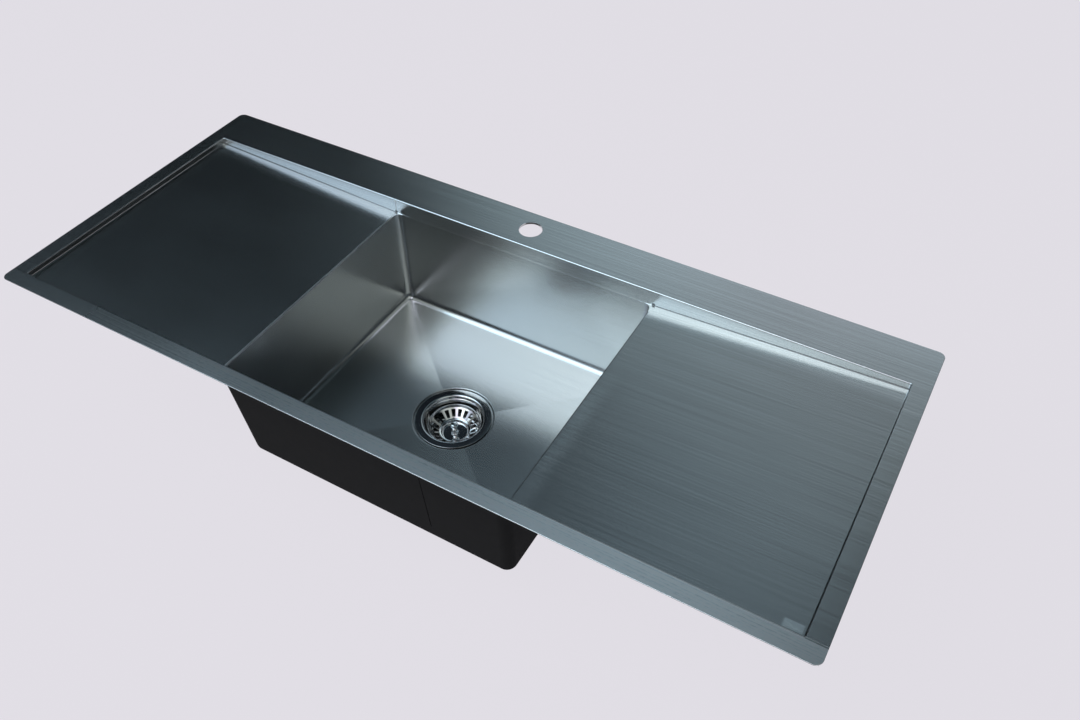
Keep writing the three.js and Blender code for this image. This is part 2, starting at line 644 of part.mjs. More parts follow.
function basketKnob() {
  const foot = DISH_Z + GAP;
  const crown = DISH_Z + KNOB_HEIGHT;
  return turned([
    [0, STEM_END], [STEM_R, STEM_END], [STEM_R, foot], [KNOB_R, foot], [KNOB_R, foot + KNOB_FOOT],
    [KNOB_NECK_R, foot + 3 * KNOB_FOOT], [KNOB_NECK_R, crown - 2 * KNOB_HEAD],
    [KNOB_R, crown - KNOB_HEAD], [KNOB_R, crown - KNOB_HEAD / 2],
    [KNOB_R - KNOB_FOOT, crown - KNOB_FOOT / 2], [0, crown]], SMALL_STEPS);
}

function snapRing() {
  const ring = new THREE.TorusGeometry(
    STEM_R + SNAP_GAP + SNAP_WIRE / 2, SNAP_WIRE / 2, WIRE_STEPS, SMALL_STEPS);
  return solid(ring.translate(0, 0, STEM_END + SNAP_HEIGHT));
}

// ---------------------------------------------------------------- the sink

const sink = new THREE.Group();

function add(name, body, material, place = [0, 0, 0], turn = 0, parent = sink) {
  const mesh = new THREE.Mesh(surface(body), material);
  mesh.name = name;
  mesh.position.set(...place);
  mesh.rotation.z = turn;
  parent.add(mesh);
}

add('deck', deck(), brushedSteel());
add('bowl', bowl(), brushedSteel());
add('bowl_coating', bowlCoating(), coatingPaint());

for (const [side, hand] of [[-1, 'left'], [1, 'right']]) {
  add(`board_pad_${hand}`, boardPad(side), bitumen());
  add(`board_stiffener_${hand}_front`, boardStiffener(side, MIDDLE_Y - HAT_SPACING / 2), zincSteel());
  add(`board_stiffener_${hand}_back`, boardStiffener(side, MIDDLE_Y + HAT_SPACING / 2), zincSteel());
}

add('tap_hole_plate', tapPlate(), zincSteel(), [0, LEDGE_Y, DECK_UNDER]);

// Foam strips: two along the long sides, and two between them along the ends.
const sealX = LENGTH / 2 - SEAL_INSET - SEAL_WIDTH / 2;
const sealY = WIDTH / 2 - SEAL_INSET - SEAL_WIDTH / 2;
const longStrip = LENGTH - 2 * SEAL_INSET;
const shortStrip = 2 * sealY - SEAL_WIDTH - 2 * GAP;
add('rim_seal_front', sealStrip(longStrip), greyFoam(), [0, -sealY, 0]);
add('rim_seal_back', sealStrip(longStrip), greyFoam(), [0, sealY, 0]);
add('rim_seal_left', sealStrip(shortStrip), greyFoam(), [-sealX, 0, 0], Math.PI / 2);
add('rim_seal_right', sealStrip(shortStrip), greyFoam(), [sealX, 0, 0], Math.PI / 2);

// Rails along all four sides, welded under the rim.
const railX = LENGTH / 2 - RAIL_INSET;
const railY = WIDTH / 2 - RAIL_INSET;
const backRail = LENGTH / 2 - RAIL_MARGIN - BACK_RAIL_START;
const frontRail = LENGTH / 2 - RAIL_MARGIN - BOWL_HALF - RAIL_BREAK;
const backRailX = BACK_RAIL_START + backRail / 2;
const frontRailX = BOWL_HALF + RAIL_BREAK + frontRail / 2;
const endRail = WIDTH - 2 * RAIL_MARGIN;
for (const [side, hand] of [[-1, 'left'], [1, 'right']]) {
  add(`rail_back_${hand}`, rail(backRail), zincSteel(), [side * backRailX, railY, RAIL_TOP]);
  add(`rail_front_${hand}`, rail(frontRail), zincSteel(), [side * frontRailX, -railY, RAIL_TOP]);
  add(`rail_${hand}`, rail(endRail), zincSteel(), [side * railX, 0, RAIL_TOP], Math.PI / 2);
}
add('rail_front_middle', rail(2 * (BOWL_HALF - RAIL_BREAK)), zincSteel(), [0, -railY, RAIL_TOP]);

// Clips on the back and end rails. Each stands in its own group, whose +Y points out over the
// worktop, and its claw is parked along the rail.
const innerClip = BACK_RAIL_START + CLIP_MARGIN;
const outerClip = LENGTH / 2 - RAIL_MARGIN - CLIP_MARGIN;
const clips = [
  ['back_1', -outerClip, railY, 0], ['back_2', -innerClip, railY, 0],
  ['back_3', innerClip, railY, 0], ['back_4', outerClip, railY, 0],
  ['left', -railX, 0, Math.PI / 2], ['right', railX, 0, -Math.PI / 2],
];
for (const [name, x, y, turn] of clips) {
  const clip = new THREE.Group();
  clip.position.set(x, y, 0);
  clip.rotation.z = turn;
  sink.add(clip);
  const pieces = [
    ['bolt', clipBolt(), BOLT_TOP],
    ['nut', hexNut(NUT_FLATS, BOLT_R + THREAD_GAP, NUT_HEIGHT), NUT_FOOT],
    ['claw', clipClaw(), NUT_FOOT + NUT_HEIGHT + GAP],
  ];
  for (const [piece, body, z] of pieces) {
    add(`clip_${piece}_${name}`, body, zincSteel(), [0, 0, z], 0, clip);
  }
}

// The waste and its basket stand on the drain's axis.
const waste = new THREE.Group();
waste.position.set(0, DRAIN_Y, 0);
sink.add(waste);
const onDrain = (name, body, material, z = 0) => add(name, body, material, [0, 0, z], 0, waste);
onDrain('strainer_cup', strainerCup(), polishedSteel());
onDrain('flange_gasket', gasket(SEAT_Z + GAP, UPPER_GASKET), blackRubber());
onDrain('body_gasket', gasket(BODY_TOP + GAP, LOWER_GASKET), blackRubber());
onDrain('waste_body', wasteBody(), palePlastic());
onDrain('clamp_screw', clampScrew(), polishedSteel());
const clampNut = hexNut(SCREW_NUT_FLATS, SCREW_R + THREAD_GAP, SCREW_NUT_HEIGHT);
onDrain('clamp_nut', clampNut, zincSteel(), SCREW_NUT_FOOT);
onDrain('basket', basket(), polishedSteel());
onDrain('basket_plug', basketPlug(), blackRubber());
onDrain('basket_retainer', basketRetainer(), polishedSteel());
onDrain('basket_knob', basketKnob(), polishedSteel());
onDrain('snap_ring', snapRing(), polishedSteel());

export default sink;
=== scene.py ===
# %% [markdown]
# # A kitchen sink of brushed steel, dressed around its CAD frame
#
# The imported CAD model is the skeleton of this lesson. It fixes every size and carries the
# joints. Over it go finer surfaces, each with the finish of the real material. Lengths are
# written in millimetres, as on a workshop drawing, and become metres where a mesh is made.

# %% Load the frame
import json
import math

import bmesh
import bpy
from mathutils import Matrix, Vector


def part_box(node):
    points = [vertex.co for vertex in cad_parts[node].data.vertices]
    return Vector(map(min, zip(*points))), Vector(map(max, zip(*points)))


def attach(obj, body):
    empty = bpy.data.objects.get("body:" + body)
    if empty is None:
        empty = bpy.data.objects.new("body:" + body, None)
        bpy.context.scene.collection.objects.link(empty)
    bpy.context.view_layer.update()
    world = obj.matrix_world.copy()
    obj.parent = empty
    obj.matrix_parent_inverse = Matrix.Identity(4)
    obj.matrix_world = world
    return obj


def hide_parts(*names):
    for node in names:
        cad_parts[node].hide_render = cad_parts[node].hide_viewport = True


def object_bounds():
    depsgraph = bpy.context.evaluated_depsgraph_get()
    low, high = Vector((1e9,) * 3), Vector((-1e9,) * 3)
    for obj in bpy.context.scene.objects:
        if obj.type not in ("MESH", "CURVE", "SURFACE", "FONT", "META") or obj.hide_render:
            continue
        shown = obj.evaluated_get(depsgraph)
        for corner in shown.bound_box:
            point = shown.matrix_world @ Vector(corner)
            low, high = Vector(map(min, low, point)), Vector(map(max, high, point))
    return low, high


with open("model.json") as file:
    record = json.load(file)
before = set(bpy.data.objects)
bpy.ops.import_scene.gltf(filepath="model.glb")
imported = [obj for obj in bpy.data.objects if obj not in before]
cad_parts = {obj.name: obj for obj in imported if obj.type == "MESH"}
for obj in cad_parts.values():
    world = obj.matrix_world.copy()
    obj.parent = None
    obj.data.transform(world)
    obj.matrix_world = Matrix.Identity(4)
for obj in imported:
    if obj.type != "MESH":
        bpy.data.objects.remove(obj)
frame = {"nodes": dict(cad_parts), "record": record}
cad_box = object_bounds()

MM = 0.001
scene = bpy.context.scene

# %% [markdown]
# ## Camera
#
# The sink is seen from its front right, from well above. The place, the angles and the focal
# length were worked out from the corners of the rim, whose real sizes are known. Blender's
# camera looks along its own -Z, straight down, so it is first rolled, then raised towards the
# horizon and then turned.

# %% Camera
CAMERA_PLACE = (0.5959, -0.7766, 0.8914)
YAW, PITCH, ROLL = (math.radians(angle) for angle in (-30.504, 45.235, -0.728))
SENSOR = 36.0
FOCAL_SHARE = 971.72 / 1080  # focal length over the picture's width

camera = bpy.data.objects.new("camera", bpy.data.cameras.new("camera"))
scene.collection.objects.link(camera)
camera.data.sensor_width = SENSOR
camera.data.lens = SENSOR * FOCAL_SHARE
camera.matrix_world = (
    Matrix.Translation(CAMERA_PLACE) @ Matrix.Rotation(-YAW, 4, "Z")
    @ Matrix.Rotation(math.pi / 2 - PITCH, 4, "X") @ Matrix.Rotation(ROLL, 4, "Z"))
scene.camera = camera
print("focal length", round(camera.data.lens, 2), "mm")

# %% [markdown]
# ## Shader maths as Python
#
# A material is a graph of nodes. Written out node by node it hides its own idea, so a small
# class wraps an output socket and lets sums and products be written as such: each operator
# adds one Math node. Every other node comes from a single method, `node`, which sets the
# node's settings first and then fills its sockets with values or with other wires.

# %% Wires
class Wire:
    """An output socket. Arithmetic on it adds Math nodes to its graph."""

    def __init__(self, graph, socket):
        self.graph = graph
        self.socket = socket

    def maths(self, operation, *others):
        inputs = dict(enumerate((self, *others)))
        return self.graph.node("Math", {"operation": operation}, inputs)

    def __add__(self, other):
        return self.maths("ADD", other)

    def __sub__(self, other):
        return self.maths("SUBTRACT", other)

    def __mul__(self, other):
        return self.maths("MULTIPLY", other)

    def __rsub__(self, other):
        return self.graph.node("Math", {"operation": "SUBTRACT"}, {0: other, 1: self})

    def __gt__(self, other):
        return self.maths("GREATER_THAN", other)

    def __lt__(self, other):
        return self.maths("LESS_THAN", other)

    __radd__ = __add__
    __rmul__ = __mul__

    def __abs__(self):
        return self.maths("ABSOLUTE")

    def largest(self, other):
        return self.maths("MAXIMUM", other)

    def ramped(self, low, high):
        """0 where the value is low, 1 where it is high, with a soft passage between."""
        settings = {"interpolation_type": "SMOOTHSTEP"}
        return self.graph.node("MapRange", settings, {
            "Value": self, "From Min": low, "From Max": high})

    def parts(self):
        return [self.graph.node("SeparateXYZ", {}, {"Vector": self}, name) for name in "XYZ"]

# %% Graphs
class Graph:
    """The node tree of a material or of the world."""

    def __init__(self, owner):
        owner.use_nodes = True
        self.tree = owner.node_tree
        self.tree.nodes.clear()

    def node(self, kind, settings, inputs, output=None):
        """Adds a node and gives back a wire from the named output, or from its first one."""
        node = self.tree.nodes.new("ShaderNode" + kind)
        for name, value in settings.items():
            setattr(node, name, value)
        for key, value in inputs.items():
            socket = node.inputs[key] if isinstance(key, int) else next(
                s for s in node.inputs if s.name == key and s.enabled)
            if isinstance(value, Wire):
                self.tree.links.new(value.socket, socket)
            else:
                socket.default_value = value
        outputs = [s for s in node.outputs if s.enabled and output in (None, s.name)]
        return Wire(self, outputs[0]) if outputs else None

    def mix(self, factor, low, high, kind="RGBA"):
        """A colour between two colours, or with the kind VECTOR a vector between two."""
        return self.node("Mix", {"data_type": kind}, {"Factor": factor, "A": low, "B": high})

    def tinted(self, colour, strength):
        """A fixed colour made lighter or darker by a wire."""
        return self.node("VectorMath", {"operation": "SCALE"}, {
            "Vector": colour, "Scale": strength})

    def place(self):
        """Where the point lies on its piece, in metres, in the CAD frame at rest."""
        return self.node("TexCoord", {}, {}, "Object")

    def ray(self, kind):
        """1 for a ray of the kind Camera, Glossy or Transmission, and 0 for any other."""
        return self.node("LightPath", {}, {}, f"Is {kind} Ray")

    def noise(self, place, cells, detail=2.0):
        """Noise from 0 to 1, with so many cells to a metre along X, Y and Z."""
        vector = self.node("VectorMath", {"operation": "MULTIPLY"}, {0: place, 1: cells})
        return self.node("TexNoise", {}, {"Vector": vector, "Scale": 1.0, "Detail": detail})

    def bump(self, height, depth):
        """A normal for relief that is depth mm high where height is 1."""
        return self.node("Bump", {}, {
            "Height": height, "Strength": 1.0, "Distance": depth * MM})

# %% Colours from a screen
def tone(red, green, blue):
    """A linear colour from the eight-bit values that a screen shows."""
    def linear(value):
        share = value / 255
        return share / 12.92 if share <= 0.04045 else ((share + 0.055) / 1.055) ** 2.4
    return (linear(red), linear(green), linear(blue), 1.0)

print("middle grey is", round(tone(128, 128, 128)[0], 3), "of full light")

# %% [markdown]
# ## Floor and light
#
# Brushed steel has hardly any colour of its own: it shows the room. So the room matters more
# than any lamp. The world is a studio with a pale floor and horizon, a dark ceiling and a few
# wide soft panels, whose edges melt into the dark. Diffuse surfaces get an even
# light of plain strength, and one large soft lamp gives the floor its faint shadow.

# %% Pale backdrop
BACKDROP = tone(226, 223, 230)
print("backdrop", [round(share, 3) for share in BACKDROP[:3]])

# %% Panels of light
def direction(azimuth, elevation):
    """A unit vector; azimuth in degrees from straight back (+Y) towards the right (+X)."""
    turn, rise = math.radians(azimuth), math.radians(elevation)
    return (math.sin(turn) * math.cos(rise), math.cos(turn) * math.cos(rise), math.sin(rise))

CEILING = (0.004, 0.005, 0.006)
AMBIENT = 0.4
HORIZON_RISE = (0.22, 0.02)  # the pale horizon fades in between these heights
LIT_SIDES, RIGHT_SHARE = (0.4, -0.2), 0.6  # and only in front and on the right
# azimuth and elevation of a panel's middle, its reach in degrees, its colour
PANELS = [
    (-25, 33, 13, (0.50, 0.64, 0.70)),  # windows behind the sink
    (-5, 20, 24, (0.70, 0.69, 0.80)),
    (-15, 22, 12, (0.30, 0.36, 0.34)),
    (2, 33, 12, (0.31, 0.44, 0.48)),
    (-7, 42, 14, (0.17, 0.19, 0.19)),
    (-17, 52, 13, (0.20, 0.27, 0.31)),
    (-60, 70, 28, (0.05, 0.07, 0.09)),  # overhead
    (60, 70, 25, (0.07, 0.10, 0.11)),
    (-100, 65, 22, (1.35, 1.90, 2.20)),  # the bright side of the room, in front
    (-120, 60, 30, (0.48, 0.49, 0.54)),
    (-150, 30, 18, (0.52, 0.76, 0.94)),
    (-150, 50, 30, (0.62, 0.70, 0.86)),
    (-160, 50, 20, (1.00, 1.12, 0.92)),
    (180, 62, 18, (1.35, 1.28, 1.50)),
    (120, 50, 30, (0.64, 0.67, 0.64)),
    (-90, 20, 30, (0.10, 0.12, 0.14)),
    (-85, 8, 14, (0.25, 0.27, 0.29)),  # low at both ends, for light lines along the folds
    (60, 7, 11, (0.90, 0.93, 0.96)),
]
print("panels of light", len(PANELS))

# %% Studio world
world = bpy.data.worlds.new("studio")
scene.world = world
world.cycles.sampling_method = "NONE"
sky = Graph(world)
looking = sky.node("TexCoord", {}, {}, "Generated")
right_hand, back, rise = looking.parts()
glow = CEILING
for azimuth, elevation, reach, tint in PANELS:
    facing = sky.node("VectorMath", {"operation": "DOT_PRODUCT"}, {
        0: looking, 1: direction(azimuth, elevation)}, "Value")
    glow = sky.node("VectorMath", {"operation": "MULTIPLY_ADD"}, {
        0: tint, 1: facing.ramped(math.cos(math.radians(reach)), 1.0), 2: glow})
side = back - right_hand * RIGHT_SHARE
studio = sky.mix(rise.ramped(*HORIZON_RISE) * side.ramped(*LIT_SIDES), glow, BACKDROP)
mirrored = sky.ray("Glossy").largest(sky.ray("Transmission"))
even = (AMBIENT, AMBIENT, AMBIENT, 1.0)
colour = sky.mix(sky.ray("Camera"), sky.mix(mirrored, even, studio), BACKDROP)
background = sky.node("Background", {}, {"Color": colour, "Strength": 1.0})
sky.node("OutputWorld", {}, {"Surface": background})
print("studio of", len(sky.tree.nodes), "nodes")

# %% Soft lamp
LAMP_PLACE = Vector((-0.9, -1.4, 2.2))
LAMP_SIZE = 2.4
LAMP_POWER = 46.0

lamp = bpy.data.objects.new("soft_lamp", bpy.data.lights.new("soft_lamp", "AREA"))
scene.collection.objects.link(lamp)
lamp.data.shape = "DISK"
lamp.data.size = LAMP_SIZE
lamp.data.energy = LAMP_POWER
lamp.location = LAMP_PLACE
lamp.rotation_euler = (-LAMP_PLACE).to_track_quat("-Z", "Y").to_euler()
lamp.visible_glossy = False
print("lamp", LAMP_SIZE, "m wide,", round(LAMP_PLACE.length, 2), "m away")

# %% Floor
FLOOR_HALF = 30.0
FLOOR_GLOW = 0.96  # share of the floor's look that does not depend on the light
FLOOR_DROP = 0.0005

floor_z = cad_box[0][2] - FLOOR_DROP
floor_mesh = bpy.data.meshes.new("floor")
floor_mesh.from_pydata(
    [(x * FLOOR_HALF, y * FLOOR_HALF, floor_z) for x, y in ((-1, -1), (1, -1), (1, 1), (-1, 1))],
    [], [(0, 1, 2, 3)])
floor = bpy.data.objects.new("floor", floor_mesh)
scene.collection.objects.link(floor)

floor_paint = bpy.data.materials.new("pale_floor")
graph = Graph(floor_paint)
seen = graph.ray("Camera").largest(graph.ray("Glossy")).largest(graph.ray("Transmission"))
matte = graph.node("BsdfDiffuse", {}, {"Color": BACKDROP})
glowing = graph.node("Emission", {}, {"Color": BACKDROP, "Strength": 1.0})
surface = graph.node("MixShader", {}, {0: seen * FLOOR_GLOW, 1: matte, 2: glowing})
graph.node("OutputMaterial", {}, {"Surface": surface})
floor_mesh.materials.append(floor_paint)
scene.view_settings.view_transform = "Standard"
print("floor at", round(floor_z / MM, 1), "mm")

# %% [markdown]
# ## Finishes
#
# ### Brushed sheet
#
# The steel was brushed with a belt that ran along the sink, so its surface is a field of very
# fine grooves. They spread a reflection, and the tone varies from groove to groove. The
# variation is noise stretched far along the grooves: a fine one about a millimetre wide, a
# middle one, and a broad one that alone has relief, since relief finer than a pixel would
# only blur. On the side walls of the bowl and at the ends of the drainboards the grooves run
# front to back, so there the noise is stretched along Y.
#
# The same steel is painted lighter in places, as painted light: painted highlights on the folds,
# painted light inside the bowl, a painted reflection below the ledge, and a painted sheen on the
# rim, where the belt was also coarser. Welds and cut edges look darker, and painted shade darkens
# a spot at each back corner of the bowl. Two functions given to the finish say where, as shares
# that follow the place on the sheet.

# %% Grooves and tones of the sheet
GROOVES = [  # width across and length along, in mm, and shares of the relief and of the tone
    (0.9, 120, 0.0, 0.4),
    (1.6, 250, 0.0, 0.19),
    (9.0, 600, 0.1, 0.03),
]
# The middle value is a painted sheen: it lightens the colour where the belt was coarser.
COARSE_TONE, COARSE_PAINTED_SHEEN, COARSE_RELIEF = 0.125, 0.3, 0.8  # what a coarser belt adds
MOTTLE, MOTTLE_CELLS = 0.12, (150, 400, 400)  # cells to a metre
CLOUD_TONE, CLOUD_ROUGHNESS, CLOUD_CELLS = 0.1, 0.05, (5, 9, 9)
WORN_ROUGHNESS = 0.05
# The first value lightens the colour of the folds as a painted highlight; the second makes them
# smoother.
BEND_PAINTED_HIGHLIGHT, BEND_ROUGHNESS = 0.4, -0.07
INSIDE_SHARE, INSIDE_ROUGHNESS = 0.25, -0.01  # the bowl was brushed more finely
# The first value lightens the colour inside the bowl as painted light. The second lightens the
# wall below the ledge as a painted reflection. The third is how dark the dark lines are.
INSIDE_PAINTED_LIGHT, WALL_PAINTED_REFLECTION, LINE_SHADE = 0.37, 0.52, 0.7
END_FACE, FLAT_FACE = 0.6, 0.7  # a normal's part from which a face looks sideways or up
TILTED, LEVEL, TURNED = (0.12, 0.3), (0.99, 0.93), (0.15, 0.35)  # a normal's parts on folds
print("grooves", [width for width, *_ in GROOVES], "mm wide")

# %% Brushed sheet
def brushed_steel(name, colour, roughness, depth, worked_and_painted_light, dark_lines):
    """Steel with grooves along X, or along Y on upright faces that look left or right."""
    material = bpy.data.materials.new(name)
    graph = Graph(material)
    place = graph.place()
    facing = graph.node("TexCoord", {}, {}, "Normal").parts()
    endwise, flat = abs(facing[0]) > END_FACE, abs(facing[2]) > FLAT_FACE
    coarse_and_sheen, worn, inside, painted_wall_reflection = worked_and_painted_light(graph, place)
    # Tilted folds in the back half, and upright corners, get a painted highlight in their colour.
    lying = facing[2].ramped(*TILTED) * facing[2].ramped(*LEVEL)
    upright = abs(facing[0]).ramped(*TURNED) * abs(facing[1]).ramped(*TURNED)
    lit_bends = (lying * (place.parts()[1] > 0)).largest(upright)
    height = tone_shift = 0.0
    for width, length, relief_share, tone_share in GROOVES:
        across, along = 0.5 / (width * MM), 0.5 / (length * MM)
        cells = graph.mix(endwise, (along, across, across), (across, along, across), "VECTOR")
        cells = graph.mix(flat, cells, (along, across, along), "VECTOR")
        grooves = graph.noise(place, cells, 1.0) - 0.5
        height = grooves * relief_share + height
        tone_shift = grooves * tone_share + tone_shift
    cloud = graph.noise(place, CLOUD_CELLS) - 0.5
    mottle = graph.noise(place, MOTTLE_CELLS) - 0.5
    fineness = 1.0 - inside * (1 - INSIDE_SHARE)
    variation = (tone_shift * fineness * (coarse_and_sheen * COARSE_TONE + 1.0)
                 + mottle * coarse_and_sheen * MOTTLE + cloud * CLOUD_TONE + 1.0)
    # The tint is painted light: painted highlights on the folds, a painted sheen where the belt
    # was coarser, painted light inside the bowl and a painted reflection below the ledge.
    tint = (coarse_and_sheen * COARSE_PAINTED_SHEEN + lit_bends * BEND_PAINTED_HIGHLIGHT * (1.0 - inside * lying)
            + inside * INSIDE_PAINTED_LIGHT + painted_wall_reflection * WALL_PAINTED_REFLECTION + 1.0)
    # Dark lines on welds and cut edges, with painted shade in the back corners of the bowl.
    shade = 1.0 - dark_lines(graph, place) * LINE_SHADE
    relief = height * (coarse_and_sheen * COARSE_RELIEF + 1.0) * fineness
    shader = graph.node("BsdfPrincipled", {}, {
        "Base Color": graph.tinted(colour, variation * shade * tint), "Metallic": 1.0,
        "Normal": graph.bump(relief * (1.0 - lying.largest(upright)), depth),
        "Roughness": (cloud * CLOUD_ROUGHNESS + lit_bends * BEND_ROUGHNESS * fineness
                      + worn * WORN_ROUGHNESS + inside * INSIDE_ROUGHNESS + roughness)})
    graph.node("OutputMaterial", {}, {"Surface": shader})
    return material

# %% [markdown]
# ### Plain finishes
#
# Chrome, zinc, rubber and the rest have no direction. Small grains and wider clouds of noise
# change their tone and gloss a little, so that no face looks like a flat fill.

# %% Plain finishes
GRAIN_DETAIL, CLOUD_WIDTH = 3.0, 12  # a cloud's width in grains
GRAIN_GLOSS, CLOUD_GLOSS = 0.12, 0.1

def plain_finish(name, colour, roughness, metallic, grain, depth, spread, sheen):
    """A finish with grains of a size in mm. spread is how far its tone varies, and sheen the
    strength of the reflection of a finish that is not metal."""
    material = bpy.data.materials.new(name)
    graph = Graph(material)
    place = graph.place()
    size = 1 / (grain * MM)
    grains = graph.noise(place, (size,) * 3, GRAIN_DETAIL)
    cloud = graph.noise(place, (size / CLOUD_WIDTH,) * 3) - 0.5
    shader = graph.node("BsdfPrincipled", {}, {
        "Base Color": graph.tinted(colour, (grains - 0.5 + cloud) * spread + 1.0),
        "Metallic": metallic, "Normal": graph.bump(grains, depth), "Specular IOR Level": sheen,
        "Roughness": (grains - 0.5) * GRAIN_GLOSS + cloud * CLOUD_GLOSS + roughness})
    graph.node("OutputMaterial", {}, {"Surface": shader})
    return material

# %% [markdown]
# ## Dimensions
#
# These are the sizes of the CAD drawing, with the same origin: the middle of the rim, in the
# plane of the worktop. The fine radii, such as those of the folds, are drawn only here. Each
# drainboard falls evenly towards the bowl.

# %% Drawing dimensions
LENGTH, WIDTH, SHEET = 1200, 500, 1.2
RIM_CORNER_R, SIDE_RIM, FRONT_RIM, LEDGE = 10, 25, 25, 75
FOLD_R, TAP_HOLE_R = 1.4, 17.5
BOARD_OUTER_DEPTH, BOARD_INNER_DEPTH = 10, 24
FRONT_COVE, BACK_COVE, END_COVE, RECESS_CORNER_R = 3, 0.8, 2, 2.5
BOARD_FOLD_R, WELD_STEP = 2, 0.2
BOWL_LENGTH, BOWL_DEPTH, FLOOR_FALL = 440, 189, 6
SIDE_DRAFT, BACK_DRAFT, FRONT_DRAFT = 7, 7, 17
BOWL_CORNER_R, FLOOR_R, COLLAR = 12, 10, 6
COATING, COATING_START = 1.6, 4
PAD_EDGE_X, PAD_EDGE_WIDTH, PAD_EDGE_DEPTH, PAD_EDGE_MARGIN = 97, 1.3, 0.9, 18
SEAT_R, SEAT_DROP, DRAIN_HOLE_R = 60, 2, 46.5
GAP = 0.3

DECK_UNDER = 1.5
DECK_TOP = DECK_UNDER + SHEET
BACK_Y, FRONT_Y = WIDTH / 2 - LEDGE, FRONT_RIM - WIDTH / 2
MIDDLE_Y, LEDGE_Y = (FRONT_Y + BACK_Y) / 2, (BACK_Y + WIDTH / 2) / 2
RECESS_HALF, BOWL_HALF = LENGTH / 2 - SIDE_RIM, BOWL_LENGTH / 2
BOARD_SLOPE = (BOARD_INNER_DEPTH - BOARD_OUTER_DEPTH) / (RECESS_HALF - BOWL_HALF)
FLOOR_EDGE_Z = DECK_TOP - BOWL_DEPTH
COLLAR_Z = DECK_TOP - BOARD_INNER_DEPTH - COLLAR
COATING_TOP = DECK_TOP - BOARD_INNER_DEPTH - COATING_START
DRAIN_Y = MIDDLE_Y + (FRONT_DRAFT - BACK_DRAFT) / 2
SEAT_Z = FLOOR_EDGE_Z - FLOOR_FALL - SEAT_DROP
FLANGE_Z = SEAT_Z + 3.1
CUP_FLOOR = FLANGE_Z - 42

def board_z(reach):
    """Height of a drainboard's surface at a distance from the middle of the sink."""
    return DECK_TOP - BOARD_OUTER_DEPTH - BOARD_SLOPE * (RECESS_HALF - reach)

print("drainboards fall", round(BOARD_SLOPE * 1000, 1), "mm in a metre")

# %% [markdown]
# ## Where the sheet was worked again, and where light and shade are painted
#
# The rim was ground with a coarser belt, which bites harder towards the right of the front rim,
# and its colour there is painted lighter, as a painted sheen. So were a strip where the right
# drainboard meets the bowl and a spot in that board's front corner.
# The fold between the left board and the bowl was rubbed bright. The wall below the ledge and the
# strip of board beside it are painted lighter, as a painted reflection. Dark lines lie along the
# weld at that wall's foot, along the front fold and the sawn front edge, and painted shade darkens
# a spot at each corner where a drainboard meets the bowl by the wall below the ledge.

# %% Worked again, with painted light
RIM_SKIN, FRONT_SKIN, COLLAR_SKIN = 0.6, 1, 1.2
BELT_AND_SHEEN_GROWS, BELT_AND_SHEEN_SHARE, BELT_WEAR = (-672, -120), 3.2, 0.3
STRIP, STRIP_EDGE, STRIP_GROWS, STRIP_SHARE = 20, 12, (60, -80), 1.2
WANDER, WANDER_CELLS = 14, (1, 14, 1)
SPOT_X, SPOT_Y, SPOT_SHARE = 560, -212, 2.5
SPOT_LONG, SPOT_WIDE = (13, 9), (7, 4)
FOLD_LINE_X, FOLD_LINE_HALF, FOLD_WEAR = BOWL_HALF + 0.8, 1.2, 3.6
# The wall below the ledge and the strip of board in front of it get a painted reflection: their
# colour is painted lighter.
WALL_REFLECTION_BAND = (BACK_Y - 35, BACK_Y - 12)

def millimetres(place):
    return [part * (1 / MM) for part in place.parts()]

def worked_and_painted_light(graph, place):
    """Shares of the coarser belt with its painted sheen, of wear, of the bowl's inside and of the
    painted reflection on the wall below the ledge.
    """
    x, y, z = millimetres(place)
    on_rim, over_collar = z > DECK_TOP - RIM_SKIN, z > DECK_TOP - BOARD_INNER_DEPTH - COLLAR_SKIN
    pressed = (1.0 - on_rim) * over_collar
    # On the front rim the belt's share grows towards the right; in the colour it is a painted
    # sheen, lighter towards the right.
    belt_and_sheen = (y < FRONT_Y + FRONT_SKIN) * x.ramped(*BELT_AND_SHEEN_GROWS) * BELT_AND_SHEEN_SHARE
    edge = x + (graph.noise(place, WANDER_CELLS) - 0.5) * WANDER
    strip = (edge.ramped(BOWL_HALF + STRIP + STRIP_EDGE, BOWL_HALF + STRIP - STRIP_EDGE)
             * over_collar * (x > 0) * y.ramped(*STRIP_GROWS) * STRIP_SHARE)
    spot = (abs(x - SPOT_X).ramped(*SPOT_LONG) * abs(y - SPOT_Y).ramped(*SPOT_WIDE)
            * SPOT_SHARE)
    # Where the belt was coarser; in the colour this share is also a painted sheen.
    coarse_and_sheen = (on_rim * (belt_and_sheen + 1.0)).largest(strip).largest(spot)
    rubbed = (abs(x + FOLD_LINE_X) < FOLD_LINE_HALF) * pressed * FOLD_WEAR
    worn = on_rim * belt_and_sheen * BELT_WEAR + rubbed
    return coarse_and_sheen, worn, 1.0 - over_collar, y.ramped(*WALL_REFLECTION_BAND) * pressed

# %% Dark lines
WELD_INSET, WELD_LINE, FRONT_LINE_HALF, FRONT_LINE_SHADE = 1, 0.8, 0.9, 0.8
SAWN, SAWN_TOP = 0.6, 0.2
# Painted shade: a dark spot in the gap at each corner where a drainboard meets the bowl by the
# back wall.
CORNER_SHADE_HALF, CORNER_SHADE_DEPTH, CORNER_SHADE_TOP = 2.2, 3, 4

